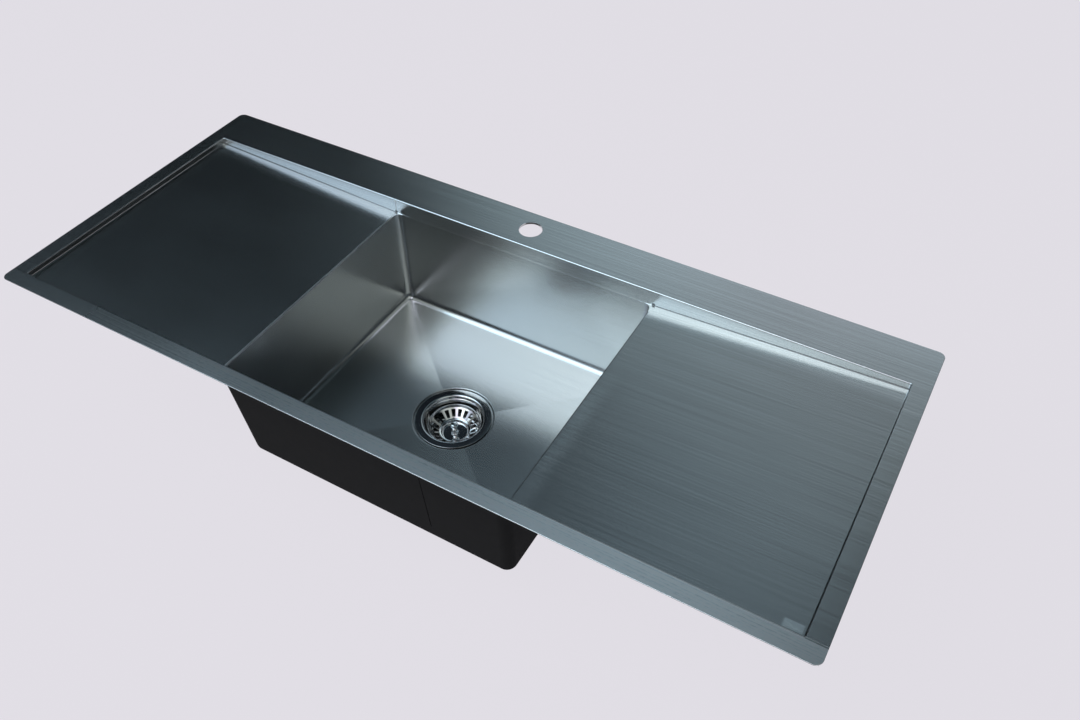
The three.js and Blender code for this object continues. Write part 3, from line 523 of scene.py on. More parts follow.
def dark_lines(graph, place):
    """Share of darkness on the weld, the front fold, the sawn front edge, and painted shade in the
    corners where the drainboards meet the bowl by the back wall.
    """
    x, y, z = millimetres(place)
    weld = ((y > BACK_Y - WELD_INSET - WELD_LINE) * (abs(z - board_z(abs(x))) < WELD_LINE)
            * (abs(x) > BOWL_HALF))
    front_fold = (abs(y - FRONT_Y + SAWN) < FRONT_LINE_HALF) * FRONT_LINE_SHADE
    sawn = (z < DECK_TOP - SAWN_TOP) * (y < SAWN - WIDTH / 2)
    # Painted shade in the corner gaps by the back wall.
    corner_shade = ((abs(abs(x) - FOLD_LINE_X) < CORNER_SHADE_HALF) * (y > BACK_Y - CORNER_SHADE_DEPTH)
             * (z < DECK_TOP - BOARD_INNER_DEPTH + CORNER_SHADE_TOP))
    return weld.largest(front_fold).largest(sawn).largest(corner_shade)

# %% Finish of every slot
PLAIN_FINISHES = [  # slot, colour, roughness, metallic, grain and relief in mm, spread, sheen
    ("polished_steel", (0.66, 0.67, 0.68), 0.07, 1.0, 1.5, 0.001, 0.05, 0.5),
    ("zinc_steel", (0.5, 0.51, 0.5), 0.42, 1.0, 2.5, 0.02, 0.3, 0.5),
    ("deadening_coating", (0.0125, 0.013, 0.0135), 0.85, 0.0, 1.2, 0.12, 0.15, 0.1),
    ("bitumen_pad", (0.014, 0.014, 0.015), 0.75, 0.0, 2.0, 0.1, 0.15, 0.25),
    ("foam_seal", (0.09, 0.095, 0.1), 0.95, 0.0, 0.5, 0.15, 0.15, 0.5),
    ("black_rubber", (0.012, 0.012, 0.013), 0.55, 0.0, 1.0, 0.02, 0.15, 0.5),
    ("waste_plastic", (0.68, 0.69, 0.67), 0.42, 0.0, 3.0, 0.01, 0.04, 0.5),
]
SLOTS = {name: plain_finish(name, *look) for name, *look in PLAIN_FINISHES}
SLOTS["brushed_sheet"] = brushed_steel(
    "brushed_sheet", (0.44, 0.455, 0.46), 0.255, 0.06, worked_and_painted_light, dark_lines)

for subpart in frame["record"]["subparts"]:
    node = frame["nodes"][subpart["node"]]
    node.data.materials.clear()
    node.data.materials.append(SLOTS[subpart["material_slot"]])
print("finishes", sorted(SLOTS))

# %% [markdown]
# ## Building forms
#
# Sheet metal is folded, so its surfaces are flats joined by round bends. A stack of outlines,
# skinned into a closed block, gives such a form with as many points round each bend as the
# eye needs. Blocks are then joined and cut from each other as the CAD model's are. Normals
# are weighted by face area, which keeps the flats flat right up to their bends.

# %% Outlines
CORNER_STEPS = 12
BEND_STEPS = 10

def bend(steps=BEND_STEPS):
    return [step / steps * math.pi / 2 for step in range(steps + 1)]

def outline(x_min, x_max, y_min, y_max, radii, steps=CORNER_STEPS):
    """Points round a rectangle with rounded corners, anticlockwise from the +X +Y corner."""
    corners = ((x_max, y_max, -1, -1), (x_min, y_max, 1, -1),
               (x_min, y_min, 1, 1), (x_max, y_min, -1, 1))
    return [(x + radius * (in_x + math.cos(quarter * math.pi / 2 + angle)),
             y + radius * (in_y + math.sin(quarter * math.pi / 2 + angle)))
            for quarter, ((x, y, in_x, in_y), radius) in enumerate(zip(corners, radii))
            for angle in bend(steps)]

square = outline(-1, 1, -1, 1, [0.5] * 4)
print("a rounded square has", len(square), "points")

# %% Skins
def skin(rings, low="fan"):
    """Points and faces of a closed block through a stack of rings. Each end is closed by one
    face. The low one can be a ladder of faces between its two long sides instead, and in a
    loop the last ring is joined to the first one."""
    count = len(rings[0])
    points = [point for ring in rings for point in ring]
    faces = []
    for level in range(len(rings) if low == "loop" else len(rings) - 1):
        base, above = level * count, (level + 1) % len(rings) * count
        for i in range(count):
            j = (i + 1) % count
            faces.append((base + i, base + j, above + j, above + i))
    if low == "ladder":
        faces += [(i, i + 1, count - 2 - i, count - 1 - i) for i in range(count // 2 - 1)]
    elif low == "fan":
        faces.append(tuple(range(count)))
    if low != "loop":
        faces.append(tuple(range(len(points) - count, len(points))))
    return points, faces

# %% Blocks
def mesh_object(name, form):
    """A mesh object in the scene, from points in mm and faces, with its normals outward."""
    points, faces = form
    mesh = bpy.data.meshes.new(name)
    mesh.from_pydata([[value * MM for value in point] for point in points], [], faces)
    shape = bmesh.new()
    shape.from_mesh(mesh)
    bmesh.ops.remove_doubles(shape, verts=shape.verts, dist=1e-7)
    bmesh.ops.recalc_face_normals(shape, faces=shape.faces)
    shape.to_mesh(mesh)
    shape.free()
    piece = bpy.data.objects.new(name, mesh)
    scene.collection.objects.link(piece)
    return piece

def carve(name, added, removed):
    """Joins the added forms, cuts the removed ones and gives back one object."""
    piece = mesh_object(name, added[0])
    tools = []
    for operation, forms in (("UNION", added[1:]), ("DIFFERENCE", removed)):
        for form in forms:
            tool = mesh_object("tool", form)
            tools.append(tool)
            step = piece.modifiers.new("step", "BOOLEAN")
            step.operation, step.solver, step.object = operation, "MANIFOLD", tool
    bpy.context.view_layer.update()
    result = piece.evaluated_get(bpy.context.evaluated_depsgraph_get())
    mesh = bpy.data.meshes.new_from_object(result)
    rough = piece.data
    piece.modifiers.clear()
    piece.data = mesh
    mesh.name = name
    bpy.data.meshes.remove(rough)
    for tool in tools:
        bpy.data.meshes.remove(tool.data)
    return piece

# %% Dressing a piece
SHARP_ANGLE = math.radians(35)

def dress(piece, body, slot, node):
    """Smooths a piece, gives it its finish and its body, and lets it stand for a CAD node."""
    piece.data.shade_smooth()
    piece.data.set_sharp_from_angle(angle=SHARP_ANGLE)
    normals = piece.modifiers.new("weighted normals", "WEIGHTED_NORMAL")
    normals.keep_sharp = True
    piece.data.materials.clear()
    piece.data.materials.append(SLOTS[slot])
    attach(piece, body)
    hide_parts(node)
    low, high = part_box(node)
    bpy.context.view_layer.update()
    corners = [piece.matrix_world @ vertex.co for vertex in piece.data.vertices]
    proud = max(max(c[k] - high[k], low[k] - c[k]) for c in corners for k in range(3))
    print(f"{piece.name}: {len(piece.data.polygons)} faces, proud {proud / MM:.2f} mm")

# %% [markdown]
# ## Deck
#
# The deck is one sheet: the flat rim and ledge, the two drainboards pressed down inside it,
# and a short collar that turns down into the bowl. Each drainboard falls towards the bowl,
# turns up tightly into its front wall, meets its back wall at a welded line, and folds down at
# the bowl.

# %% Walls of the bowl
def drop(z):
    return (DECK_TOP - z) / BOWL_DEPTH

def side_x(z):
    return BOWL_HALF - SIDE_DRAFT * drop(z)

def front_y(z):
    return FRONT_Y + FRONT_DRAFT * drop(z)

def back_y(z):
    return BACK_Y - BACK_DRAFT * drop(z)

print("the bowl's floor is", round(2 * side_x(FLOOR_EDGE_Z)), "by",
      round(back_y(FLOOR_EDGE_Z) - front_y(FLOOR_EDGE_Z)), "mm")

# %% Fold round the bowl
OVERRUN = 10

folded_edge = [(DECK_TOP - FOLD_R * (1 - math.sin(a)), -FOLD_R * (1 - math.cos(a)))
               for a in bend()] + [(DECK_TOP + OVERRUN, -FOLD_R)]

def bowl_outline(z, inset):
    x = side_x(z) - inset
    radius = max(BOWL_CORNER_R - inset, GAP)
    return [(px, py, z) for px, py in outline(
        -x, x, front_y(z) + inset, back_y(z) - inset, [radius] * 4)]

# %% Drainboard recesses
BOARD_START = BOWL_HALF - 2 * BOWL_CORNER_R
STATIONS = [BOARD_START + 4 * step for step in range(16)]

def board_block(side, growth, edge):
    """A drainboard's recess as a block, grown outward by growth."""
    def ring(front_inset, back_inset, end_inset, height_at):
        radius = max(RECESS_CORNER_R - end_inset, GAP)
        x_max = RECESS_HALF - end_inset
        low, high = FRONT_Y - WELD_STEP + front_inset, BACK_Y + WELD_STEP - back_inset
        round_points = outline(BOARD_START, x_max, low, high, (radius, 0, 0, radius))
        back_arc = round_points[:CORNER_STEPS + 1]
        front_arc = round_points[3 * (CORNER_STEPS + 1):]
        flat = (back_arc + [(x, high) for x in reversed(STATIONS)]
                + [(x, low) for x in STATIONS] + front_arc)
        points = []
        for reach, y in flat:
            lean = front_y if y < MIDDLE_Y else back_y
            z = height_at(reach, y < MIDDLE_Y)
            points.append((side * reach, y + lean(z) - lean(DECK_TOP), z))
        return points
    rings = []
    for angle in reversed(bend()):
        def inset(radius, angle=angle):
            return radius - (radius + growth) * math.cos(angle)
        def height(reach, in_front, angle=angle):
            radius = FRONT_COVE if in_front else BACK_COVE
            return board_z(reach) + radius - (radius + growth) * math.sin(angle)
        rings.append(ring(inset(FRONT_COVE), inset(BACK_COVE), inset(END_COVE), height))
    rings += [ring(inset, inset, inset, lambda reach, front, z=z: z) for z, inset in edge]
    return skin(rings, low="ladder")

def board_fold(side):
    """What is cut from the sharp line between a drainboard and the bowl."""
    z = board_z(BOWL_HALF)
    x = side_x(z)
    r = BOARD_FOLD_R
    section = [(x + r * (1 - math.cos(a)), z - r * (1 - math.sin(a))) for a in bend()]
    section += [(x + r, z + SHEET), (x - SHEET, z + SHEET), (x - SHEET, z - r)]
    end = 1.2 * BOWL_CORNER_R
    ends = (front_y(z) + end, back_y(z) - end)
    return skin([[(side * px, y, pz) for px, pz in section] for y in ends])

# %% Turned blocks and slabs
def turns(steps):
    return [2 * math.pi * i / steps for i in range(steps)]

def turned(profile, steps=96, y=DRAIN_Y):
    """A block turned about an upright axis, from a closed profile of radius and height."""
    return skin([[(radius * math.cos(t), y + radius * math.sin(t), z)
                  for radius, z in profile] for t in turns(steps)], low="loop")

def slab(x_min, x_max, y_min, y_max, radius, edge, steps=CORNER_STEPS):
    """A plate with round corners, whose edge is given by heights and insets."""
    return skin([[(x, y, z) for x, y in outline(
        x_min + inset, x_max - inset, y_min + inset, y_max - inset,
        [radius - inset] * 4, steps)] for z, inset in edge])

# %% Deck
EDGE_R, LIP = 0.5, 0.4

rim_edge = [(DECK_UNDER, 0.3), (DECK_UNDER + 0.3, 0)] + [
    (DECK_TOP - EDGE_R * (1 - math.sin(a)), EDGE_R * (1 - math.cos(a))) for a in bend(6)]
rim = slab(-LENGTH / 2, LENGTH / 2, -WIDTH / 2, WIDTH / 2, RIM_CORNER_R, rim_edge)
collar = skin([bowl_outline(COLLAR_Z, -SHEET), bowl_outline(DECK_TOP, -SHEET)])
bowl_space = skin([bowl_outline(COLLAR_Z - OVERRUN, 0)]
                  + [bowl_outline(z, inset) for z, inset in folded_edge])
tap_hole = turned([
    (0, -OVERRUN), (TAP_HOLE_R, -OVERRUN), (TAP_HOLE_R, DECK_TOP - LIP),
    (TAP_HOLE_R + LIP / 4, DECK_TOP - LIP / 4), (TAP_HOLE_R + LIP, DECK_TOP),
    (TAP_HOLE_R + LIP, OVERRUN), (0, OVERRUN)], y=LEDGE_Y)
SIDES = (1, -1)
deck = carve(
    "deck_sheet",
    [rim, *(board_block(side, SHEET, [(DECK_TOP, -SHEET)]) for side in SIDES), collar],
    [bowl_space, *(board_block(side, 0, folded_edge) for side in SIDES),
     *map(board_fold, SIDES), tap_hole])
dress(deck, "sink", "brushed_sheet", "deck")

# %% [markdown]
# ## Bowl
#
# The bowl is a second sheet, welded under the collar. Its walls lean in a little, and its
# floor is pressed as four flat panels that fall to the drain and meet along creases from the
# corners. One skin is drawn over the whole bowl: down the inside, through the drain hole and
# back up the outside. Points along each side are spread by equal angles seen from the drain,
# so that the same rings can pass from the rectangle of the walls to the circle of the seat.

# %% Rings of the bowl
SIDE_STEPS = 20

def corner_arcs(z, inset):
    points, size = bowl_outline(z, inset), CORNER_STEPS + 1
    return [points[i * size:(i + 1) * size] for i in range(4)]

def straights(arcs):
    """The x and y of both ends of each straight side between the corners."""
    return [(*arcs[i][-1][:2], *arcs[(i + 1) % 4][0][:2]) for i in range(4)]

def side_shares(ax, ay, bx, by):
    """Shares along a side at which points are spread by equal angles from the drain."""
    start = math.atan2(ay - DRAIN_Y, ax)
    swing = (math.atan2(by - DRAIN_Y, bx) - start) % (2 * math.pi)
    shares = []
    for step in range(1, SIDE_STEPS):
        turn = start + swing * step / SIDE_STEPS
        dx, dy = math.cos(turn), math.sin(turn)
        shares.append((dx * (ay - DRAIN_Y) - dy * ax) / (dy * (bx - ax) - dx * (by - ay)))
    return shares

SHARES = [side_shares(*ends) for ends in straights(corner_arcs(FLOOR_EDGE_Z, FLOOR_R))]

def bowl_ring(z, inset):
    arcs = corner_arcs(z, inset)
    ring = []
    for arc, (ax, ay, bx, by), shares in zip(arcs, straights(arcs), SHARES):
        ring += arc + [(ax + (bx - ax) * t, ay + (by - ay) * t, z) for t in shares]
    return ring

def fillet_rings(growth):
    """The walls' round foot, from the wall to the floor."""
    return [bowl_ring(FLOOR_EDGE_Z + FLOOR_R - (FLOOR_R + growth) * math.sin(a),
                      FLOOR_R - (FLOOR_R + growth) * math.cos(a)) for a in bend()]

def floor_ring(growth, radius, height=lambda z: z):
    """Points on the floor's panels at a distance from the drain's axis."""
    tip = FLOOR_EDGE_Z - FLOOR_FALL - growth
    edge = fillet_rings(growth)[-1]
    ring = []
    for x, y, z in edge:
        share = radius / math.hypot(x, y - DRAIN_Y)
        ring.append((x * share, DRAIN_Y + (y - DRAIN_Y) * share,
                     height(tip + (z - tip) * share)))
    return ring

print("a ring round the bowl has", len(bowl_ring(COLLAR_Z, 0)), "points")

# %% Bowl
PRESS_R = 1.5  # round edge where the seat is pressed into the floor

seat = [floor_ring(0, SEAT_R + PRESS_R * (1 - math.sin(a)),
                   lambda z, a=a: z - PRESS_R * (1 - math.cos(a))) for a in bend(6)]
seat += [floor_ring(0, SEAT_R - 1 + math.cos(a), lambda z, a=a: SEAT_Z + 1 - math.sin(a))
         for a in bend(4)]
inner = [bowl_ring(COLLAR_Z, 0), *fillet_rings(0), *seat]
hole = [floor_ring(0, radius, lambda z, h=h: h) for radius, h in (
    (DRAIN_HOLE_R + 0.4, SEAT_Z), (DRAIN_HOLE_R, SEAT_Z - 0.4), (DRAIN_HOLE_R, SEAT_Z - SHEET),
    (SEAT_R + SHEET, SEAT_Z - SHEET))]
outer = [floor_ring(SHEET, SEAT_R + SHEET), *reversed(fillet_rings(SHEET)),
         bowl_ring(COLLAR_Z, -SHEET)]
bowl = mesh_object("bowl_sheet", skin([*inner, *hole, *outer], low="loop"))
dress(bowl, "sink", "brushed_sheet", "bowl")

# %% [markdown]
# ## Coating
#
# The outside of the bowl is sprayed with a matte coating that deadens the ring of the steel.
# On the front the edge of a pad shows through it as a thin upright line.

# %% Sprayed coating
EDGE_ROUND = 0.7

shell_in, shell_out = SHEET + GAP, SHEET + GAP + COATING
top_edge = [bowl_ring(COATING_TOP - EDGE_ROUND * (1 - math.sin(a)),
                      EDGE_ROUND * (1 - math.cos(a)) - shell_out) for a in bend(4)]
coat_out = [floor_ring(shell_out, SEAT_R + shell_in), *reversed(fillet_rings(shell_out))]
coat_in = [*fillet_rings(shell_in), floor_ring(shell_in, SEAT_R + shell_in)]
coat = skin([*coat_out, *top_edge, bowl_ring(COATING_TOP, -shell_in), *coat_in], low="loop")

def pad_edge_ring(z):
    left, right = PAD_EDGE_X - PAD_EDGE_WIDTH / 2, PAD_EDGE_X + PAD_EDGE_WIDTH / 2
    face = front_y(z) - shell_out
    return [(left, face - 1, z), (right, face - 1, z),
            (right, face + PAD_EDGE_DEPTH, z), (left, face + PAD_EDGE_DEPTH, z)]

pad_edge = skin([pad_edge_ring(FLOOR_EDGE_Z + FLOOR_R + PAD_EDGE_MARGIN),
                 pad_edge_ring(COATING_TOP - PAD_EDGE_MARGIN)])
coating = carve("sprayed_coating", [coat], [pad_edge])
dress(coating, "sink", "deadening_coating", "bowl_coating")

# %% [markdown]
# ## Turned pieces
#
# The strainer is spun and turned, so its pieces come from profiles. A sheet is drawn by the
# path of its upper face and given its thickness by an offset, as the spinner's roller does.

# %% Arcs and sheet
def arc(x, z, radius, start, end, steps=8):
    """Points on an arc, with its ends in quarter turns from the +X direction."""
    angles = [(start + (end - start) * step / steps) * math.pi / 2 for step in range(steps + 1)]
    return [(x + radius * math.cos(a), z + radius * math.sin(a)) for a in angles]

def sheet(path, thickness):
    """The closed profile of sheet: a path and the same path offset to its left."""
    offset = []
    for i, point in enumerate(path):
        before = Vector(point) - Vector(path[max(i - 1, 0)])
        after = Vector(path[min(i + 1, len(path) - 1)]) - Vector(point)
        along = (before.normalized() + after.normalized()).normalized()
        stretch = along.dot((before if before.length else after).normalized())
        offset.append((point[0] - along.y * thickness / stretch,
                       point[1] + along.x * thickness / stretch))
    return list(path) + offset[::-1]

# %% Rounded corners
def filleted(corners, steps=5):
    """A closed outline from corners (x, y, radius), each rounded by its radius."""
    points = []
    for i, (x, y, radius) in enumerate(corners):
        here = Vector((x, y))
        back = (Vector(corners[i - 1][:2]) - here).normalized()
        ahead = (Vector(corners[(i + 1) % len(corners)][:2]) - here).normalized()
        half = back.angle(ahead) / 2
        if radius <= 0 or half > math.pi / 2 - 0.02:
            points.append((x, y))
            continue
        centre = here + (back + ahead).normalized() * radius / math.sin(half)
        start = here + back * radius / math.tan(half) - centre
        end = here + ahead * radius / math.tan(half) - centre
        points += [tuple(centre + start.slerp(end, step / steps).normalized() * radius)
                   for step in range(steps + 1)]
    return points

# %% Pieces round the drain
def on_drain(name, profile, slot, body, node, steps=96):
    dress(mesh_object(name, turned(profile, steps)), body, slot, node)

def together(forms):
    """Several forms as one."""
    points, faces = [], []
    for form_points, form_faces in forms:
        faces += [tuple(len(points) + corner for corner in face) for face in form_faces]
        points += form_points
    return points, faces

def radial(count, section, low, high):
    """Upright blocks with the same outline, set round the drain's axis."""
    return together(
        skin([[(x * math.cos(t) - y * math.sin(t),
                x * math.sin(t) + y * math.cos(t) + DRAIN_Y, z) for x, y in section]
              for z in (low, high)]) for t in turns(count))

# %% [markdown]
# ## Strainer cup
#
# The cup hangs in the floor by its flange, polished like a mirror. Its edge is rolled over a
# little, so it draws a bright line round the drain, and a small step in the throat doubles
# the bright ring there.

# %% Strainer cup
FLANGE_R, THROAT_R, THROAT_ROLL_R = 57, 44.5, 3.5
CUP_BOTTOM_R, CUP_FLOOR_R = 41.5, 4

cup_path = [
    *arc(FLANGE_R - 0.5, FLANGE_Z - 0.5, 0.5, 0.3, 1, 4),
    *arc(THROAT_R + THROAT_ROLL_R, FLANGE_Z - THROAT_ROLL_R, THROAT_ROLL_R, 1, 2),
    (THROAT_R, FLANGE_Z - 5.2), (THROAT_R - 0.1, FLANGE_Z - 5.5),
    (THROAT_R - 0.8, FLANGE_Z - 6), (THROAT_R - 0.9, FLANGE_Z - 6.4),
    *arc(CUP_BOTTOM_R - CUP_FLOOR_R, CUP_FLOOR + CUP_FLOOR_R, CUP_FLOOR_R, 0, -1),
    (5.4, CUP_FLOOR)]
slot_outline = filleted([(13, -2.75, 2.7), (26, -2.75, 2.7), (26, 2.75, 2.7), (13, 2.75, 2.7)])
cup = carve("strainer_bowl", [turned(sheet(cup_path, 1), 128)],
            [radial(8, slot_outline, CUP_FLOOR - 3, CUP_FLOOR + 1)])
dress(cup, "sink", "polished_steel", "strainer_cup")

# %% Gaskets
def ring_profile(inner, outer, low, high, edge):
    return filleted([(inner, low, edge), (outer, low, edge), (outer, high, edge),
                     (inner, high, edge)], 4)

BODY_TOP = SEAT_Z - SHEET - 2 - 2 * GAP
on_drain("upper_gasket", ring_profile(48.5, 56, SEAT_Z + GAP, SEAT_Z + GAP + 1.5, 0.4),
         "black_rubber", "sink", "flange_gasket")
on_drain("lower_gasket", ring_profile(48.5, 56, BODY_TOP + GAP, BODY_TOP + GAP + 2, 0.5),
         "black_rubber", "sink", "body_gasket")

# %% Screw threads
def column(shape, steps, y=DRAIN_Y):
    """Rings at the given heights. A radius is a number, or a function of height and angle."""
    rings = []
    for z, radius in shape:
        radii = [radius(z, t) if callable(radius) else radius for t in turns(steps)]
        rings.append([(r * math.cos(t), y + r * math.sin(t), z)
                      for r, t in zip(radii, turns(steps))])
    return rings

def threaded(outer, depth, pitch, low, high, samples=6):
    """The shape of a screw thread with rounded crests, which runs out at both ends."""
    def radius(z, turn):
        wave = 0.5 + 0.5 * math.cos(2 * math.pi * (z / pitch) - turn)
        fade = min((z - low) / pitch, (high - z) / pitch, 1)
        return outer - depth * (1 - wave) * max(fade, 0)
    count = int((high - low) / pitch * samples)
    return [(low + (high - low) * step / count, radius) for step in range(count + 1)]

# %% Clamping screw
SCREW_TOP = CUP_FLOOR + GAP + 3
SCREW_FOOT, SCREW_NUT_FOOT, SCREW_BORE_FOOT = -251.8, -249.8, -242.9
SCREW_R, SCREW_THREAD, SCREW_PITCH = 5, 0.5, 1.5
screw = carve("clamping_screw", [
    skin(column([*threaded(SCREW_R, SCREW_THREAD, SCREW_PITCH, SCREW_FOOT, CUP_FLOOR - 3),
                 (CUP_FLOOR + GAP + 0.5, SCREW_R)], 40)),
    turned([(0, CUP_FLOOR + GAP), *filleted([
        (7.9, CUP_FLOOR + GAP, 0.3), (7.9, SCREW_TOP, 0.8), (0.1, SCREW_TOP, 0)])[:-1],
        (0, SCREW_TOP)], 48)],
    [turned([(0, SCREW_BORE_FOOT), (3.6, SCREW_BORE_FOOT), (3.6, SCREW_TOP - 0.4),
             (4, SCREW_TOP), (4, SCREW_TOP + 5), (0, SCREW_TOP + 5)], 48)])
dress(screw, "sink", "polished_steel", "clamp_screw")

# %% Clamping nut
def hex_nut(flats, bore, height, y=0.0, steps=72):
    """A nut with both faces chamfered, from z = 0 up."""
    corner = flats / math.sqrt(3)
    def radius(z, turn):
        flat = flats / 2 / math.cos((turn + math.pi / 6) % (math.pi / 3) - math.pi / 6)
        edge = min(z, height - z)
        return min(flat, corner - 0.09 * flats + edge * 1.7)
    outside = [(height * share, radius) for share in (0, 0.05, 0.1, 0.16, 0.84, 0.9, 0.95, 1)]
    inside = [(height, bore + 0.4), (height - 0.4, bore), (0.4, bore), (0, bore + 0.4)]
    return skin(column(outside + inside, steps, y), low="loop")

nut = mesh_object("clamping_nut", hex_nut(17, 5.2, 6, DRAIN_Y))
nut.location.z = SCREW_NUT_FOOT * MM
dress(nut, "sink", "zinc_steel", "clamp_nut")

# %% [markdown]
# ## Waste body
#
# Under the bowl a plastic body gathers the water from the cup. It is moulded in one piece,
# with a boss on four arms inside, gussets under its flange and a pipe thread on its outlet.

# %% Outside of the waste body
CUP_UNDER, CONE_FOOT, OUTLET_END = -234.2, -250.2, -278.2
BODY_R, BODY_FLANGE, OUTLET_R, OUTLET_BORE_R = 57, 3, 23.9, 20
THREAD_DEPTH, THREAD_PITCH = 1.1, 2.3

flange_foot = BODY_TOP - BODY_FLANGE
block = skin(column([
    (OUTLET_END, OUTLET_R - 1.2), (OUTLET_END + 0.5, OUTLET_R - 0.8),
    *threaded(OUTLET_R, THREAD_DEPTH, THREAD_PITCH, OUTLET_END + 2, CONE_FOOT - 5),
    (CONE_FOOT - 3.5, OUTLET_R), (CONE_FOOT - 2.2, OUTLET_R + 0.8),
    (CUP_UNDER - 3, 43.4), (CUP_UNDER - 1.4, 45.6), (CUP_UNDER + 0.5, 46.5),
    (flange_foot - 1.5, 48.3), (flange_foot - 0.3, 49), (flange_foot, 50),
    (flange_foot, BODY_R - 0.6), (flange_foot + 0.6, BODY_R), (BODY_TOP - 0.5, BODY_R),
    (BODY_TOP, BODY_R - 0.5)], 96))
print("pipe thread", THREAD_PITCH, "mm a turn")

# %% Cavity, boss, arms and gussets
cavity = turned([(0, BODY_TOP + 1), (45.9, BODY_TOP + 1), (44, CUP_UNDER),
                 (OUTLET_BORE_R, CONE_FOOT), (OUTLET_BORE_R, OUTLET_END - 1),
                 (0, OUTLET_END - 1)])
BOSS_TOP, BOSS_FOOT = CUP_UNDER - GAP, CUP_UNDER - GAP - 9
boss = turned([(0, BOSS_FOOT), (9.5, BOSS_FOOT), (10, BOSS_FOOT + 0.5),
               (10, BOSS_TOP - 0.5), (9.5, BOSS_TOP), (0, BOSS_TOP)], 48)
arms = radial(4, [(7.5, -1.5), (46, -1.5), (46, 1.5), (7.5, 1.5)], BOSS_FOOT, BOSS_TOP - 3)
gusset = [(47.5, -1), (54, -1), (54, 1), (47.5, 1)]
gussets = radial(12, gusset, flange_foot - 8, BODY_TOP - 1)
slope = turned([(49, flange_foot - 9), (70, flange_foot - 9), (70, flange_foot),
                (55, flange_foot - 0.3)])

# %% Waste body
def carved_form(added, removed):
    """A carved block as points in mm and faces, so that it can be a form in its turn."""
    mesh = carve("rough", added, removed).data
    form = ([tuple(v.co / MM) for v in mesh.vertices], [tuple(p.vertices) for p in mesh.polygons])
    bpy.data.meshes.remove(mesh)
    return form

bore = turned([(0, BOSS_FOOT - 1), (5.4, BOSS_FOOT - 1), (5.4, BOSS_TOP + 1),
               (0, BOSS_TOP + 1)], 48)
body = carve("waste_housing", [block, carved_form([gussets], [slope])],
             [carved_form([cavity], [boss, arms]), bore])
dress(body, "sink", "waste_plastic", "waste_body")

# %% [markdown]
# ## Basket
#
# The basket lifts out by its knob. Twenty slots between flat bars go round its cone, a dish
# in the middle carries the knob, and a rubber bell under it closes the drain.

# %% Basket
BASKET_R, BASKET_SHEET, BASKET_SLOTS = 40, 0.8, 20
RIM_Z = FLANGE_Z - 12
CONE_TOP_R, CONE_FOOT_R, DISH_R = 36.5, 23, 20.5
DISH_Z = FLANGE_Z - 32

basket_path = [
    *arc(BASKET_R - 0.8, RIM_Z - 0.8, 0.8, -0.4, 1.9, 8),
    (BASKET_R - 1.9, RIM_Z - 1.6),
    *arc(CONE_TOP_R + 0.9, FLANGE_Z - 15.4, 0.8, 2.1, 2.5, 3),
    (CONE_FOOT_R + 0.6, FLANGE_Z - 25.8), (CONE_FOOT_R - 0.6, FLANGE_Z - 26.25),
    (DISH_R + 0.8, FLANGE_Z - 26.3), (DISH_R + 0.2, FLANGE_Z - 26.7),
    *arc(DISH_R - 3, DISH_Z + 3, 3, 0, -1, 6), (3, DISH_Z)]
half = 0.6 * math.pi / BASKET_SLOTS
near, far = CONE_FOOT_R + 1.6, CONE_TOP_R - 1.6
slot_corners = [(r * math.cos(a), r * math.sin(a), 0.8)
                for r, a in ((near, -half), (far, -half), (far, half), (near, half))]
basket = carve("basket_shell", [turned(sheet(basket_path, BASKET_SHEET), 160)],
               [radial(BASKET_SLOTS, filleted(slot_corners), DISH_Z, RIM_Z)])
dress(basket, "basket", "polished_steel", "basket")

# %% Plug and retainer
PLUG_TOP = DISH_Z - BASKET_SHEET - GAP
RETAINER_TOP = PLUG_TOP - 2 - GAP
STEM_END = SCREW_TOP - 12
lip = CUP_FLOOR + GAP
plug = filleted([
    (32, lip, 0.6), (32, lip + 2, 0.8), (28, PLUG_TOP, 2.5), (3, PLUG_TOP, 0),
    (3, PLUG_TOP - 2, 0), (26.6, PLUG_TOP - 2, 1.5), (30, lip + 2, 1.5), (30, lip, 0.6)])
on_drain("rubber_bell", plug, "black_rubber", "basket", "basket_plug")
on_drain("washer", ring_profile(2.8, 11, RETAINER_TOP - 1.6, RETAINER_TOP, 0.4),
         "polished_steel", "basket", "basket_retainer", 48)

# %% Knob and snap ring
def flowing(points, steps=5):
    """A smooth path through points, by the Catmull-Rom rule."""
    padded = [points[0], *points, points[-1]]
    path = []
    for p0, p1, p2, p3 in zip(padded, padded[1:], padded[2:], padded[3:]):
        p0, p1, p2, p3 = map(Vector, (p0, p1, p2, p3))
        for step in range(steps):
            t = step / steps
            path.append(tuple(0.5 * (2 * p1 + (p2 - p0) * t + (2 * p0 - 5 * p1 + 4 * p2 - p3)
                                     * t * t + (3 * p1 - p0 - 3 * p2 + p3) * t ** 3)))
    return path + [tuple(points[-1])]

knob_foot, crown = DISH_Z + GAP, DISH_Z + 20
knob = [(0, STEM_END), (2.3, STEM_END), (2.6, STEM_END + 0.4), (2.6, knob_foot),
        (5.6, knob_foot), (5.8, knob_foot + 0.3), (5.8, knob_foot + 1.2)]
knob += flowing([(5.4, knob_foot + 1.6), (4.2, knob_foot + 3), (3.3, knob_foot + 5.5),
                 (3.2, crown - 9), (3.9, crown - 6.4), (5.3, crown - 4.6), (5.8, crown - 3),
                 (5.4, crown - 1.4), (4, crown - 0.4), (0, crown)])
on_drain("knob", knob, "polished_steel", "basket", "basket_knob", 64)
wire = arc(3.1, STEM_END + 3, 0.4, 0, 4, 12)[:-1]
on_drain("wire_ring", wire, "polished_steel", "basket", "snap_ring", 48)

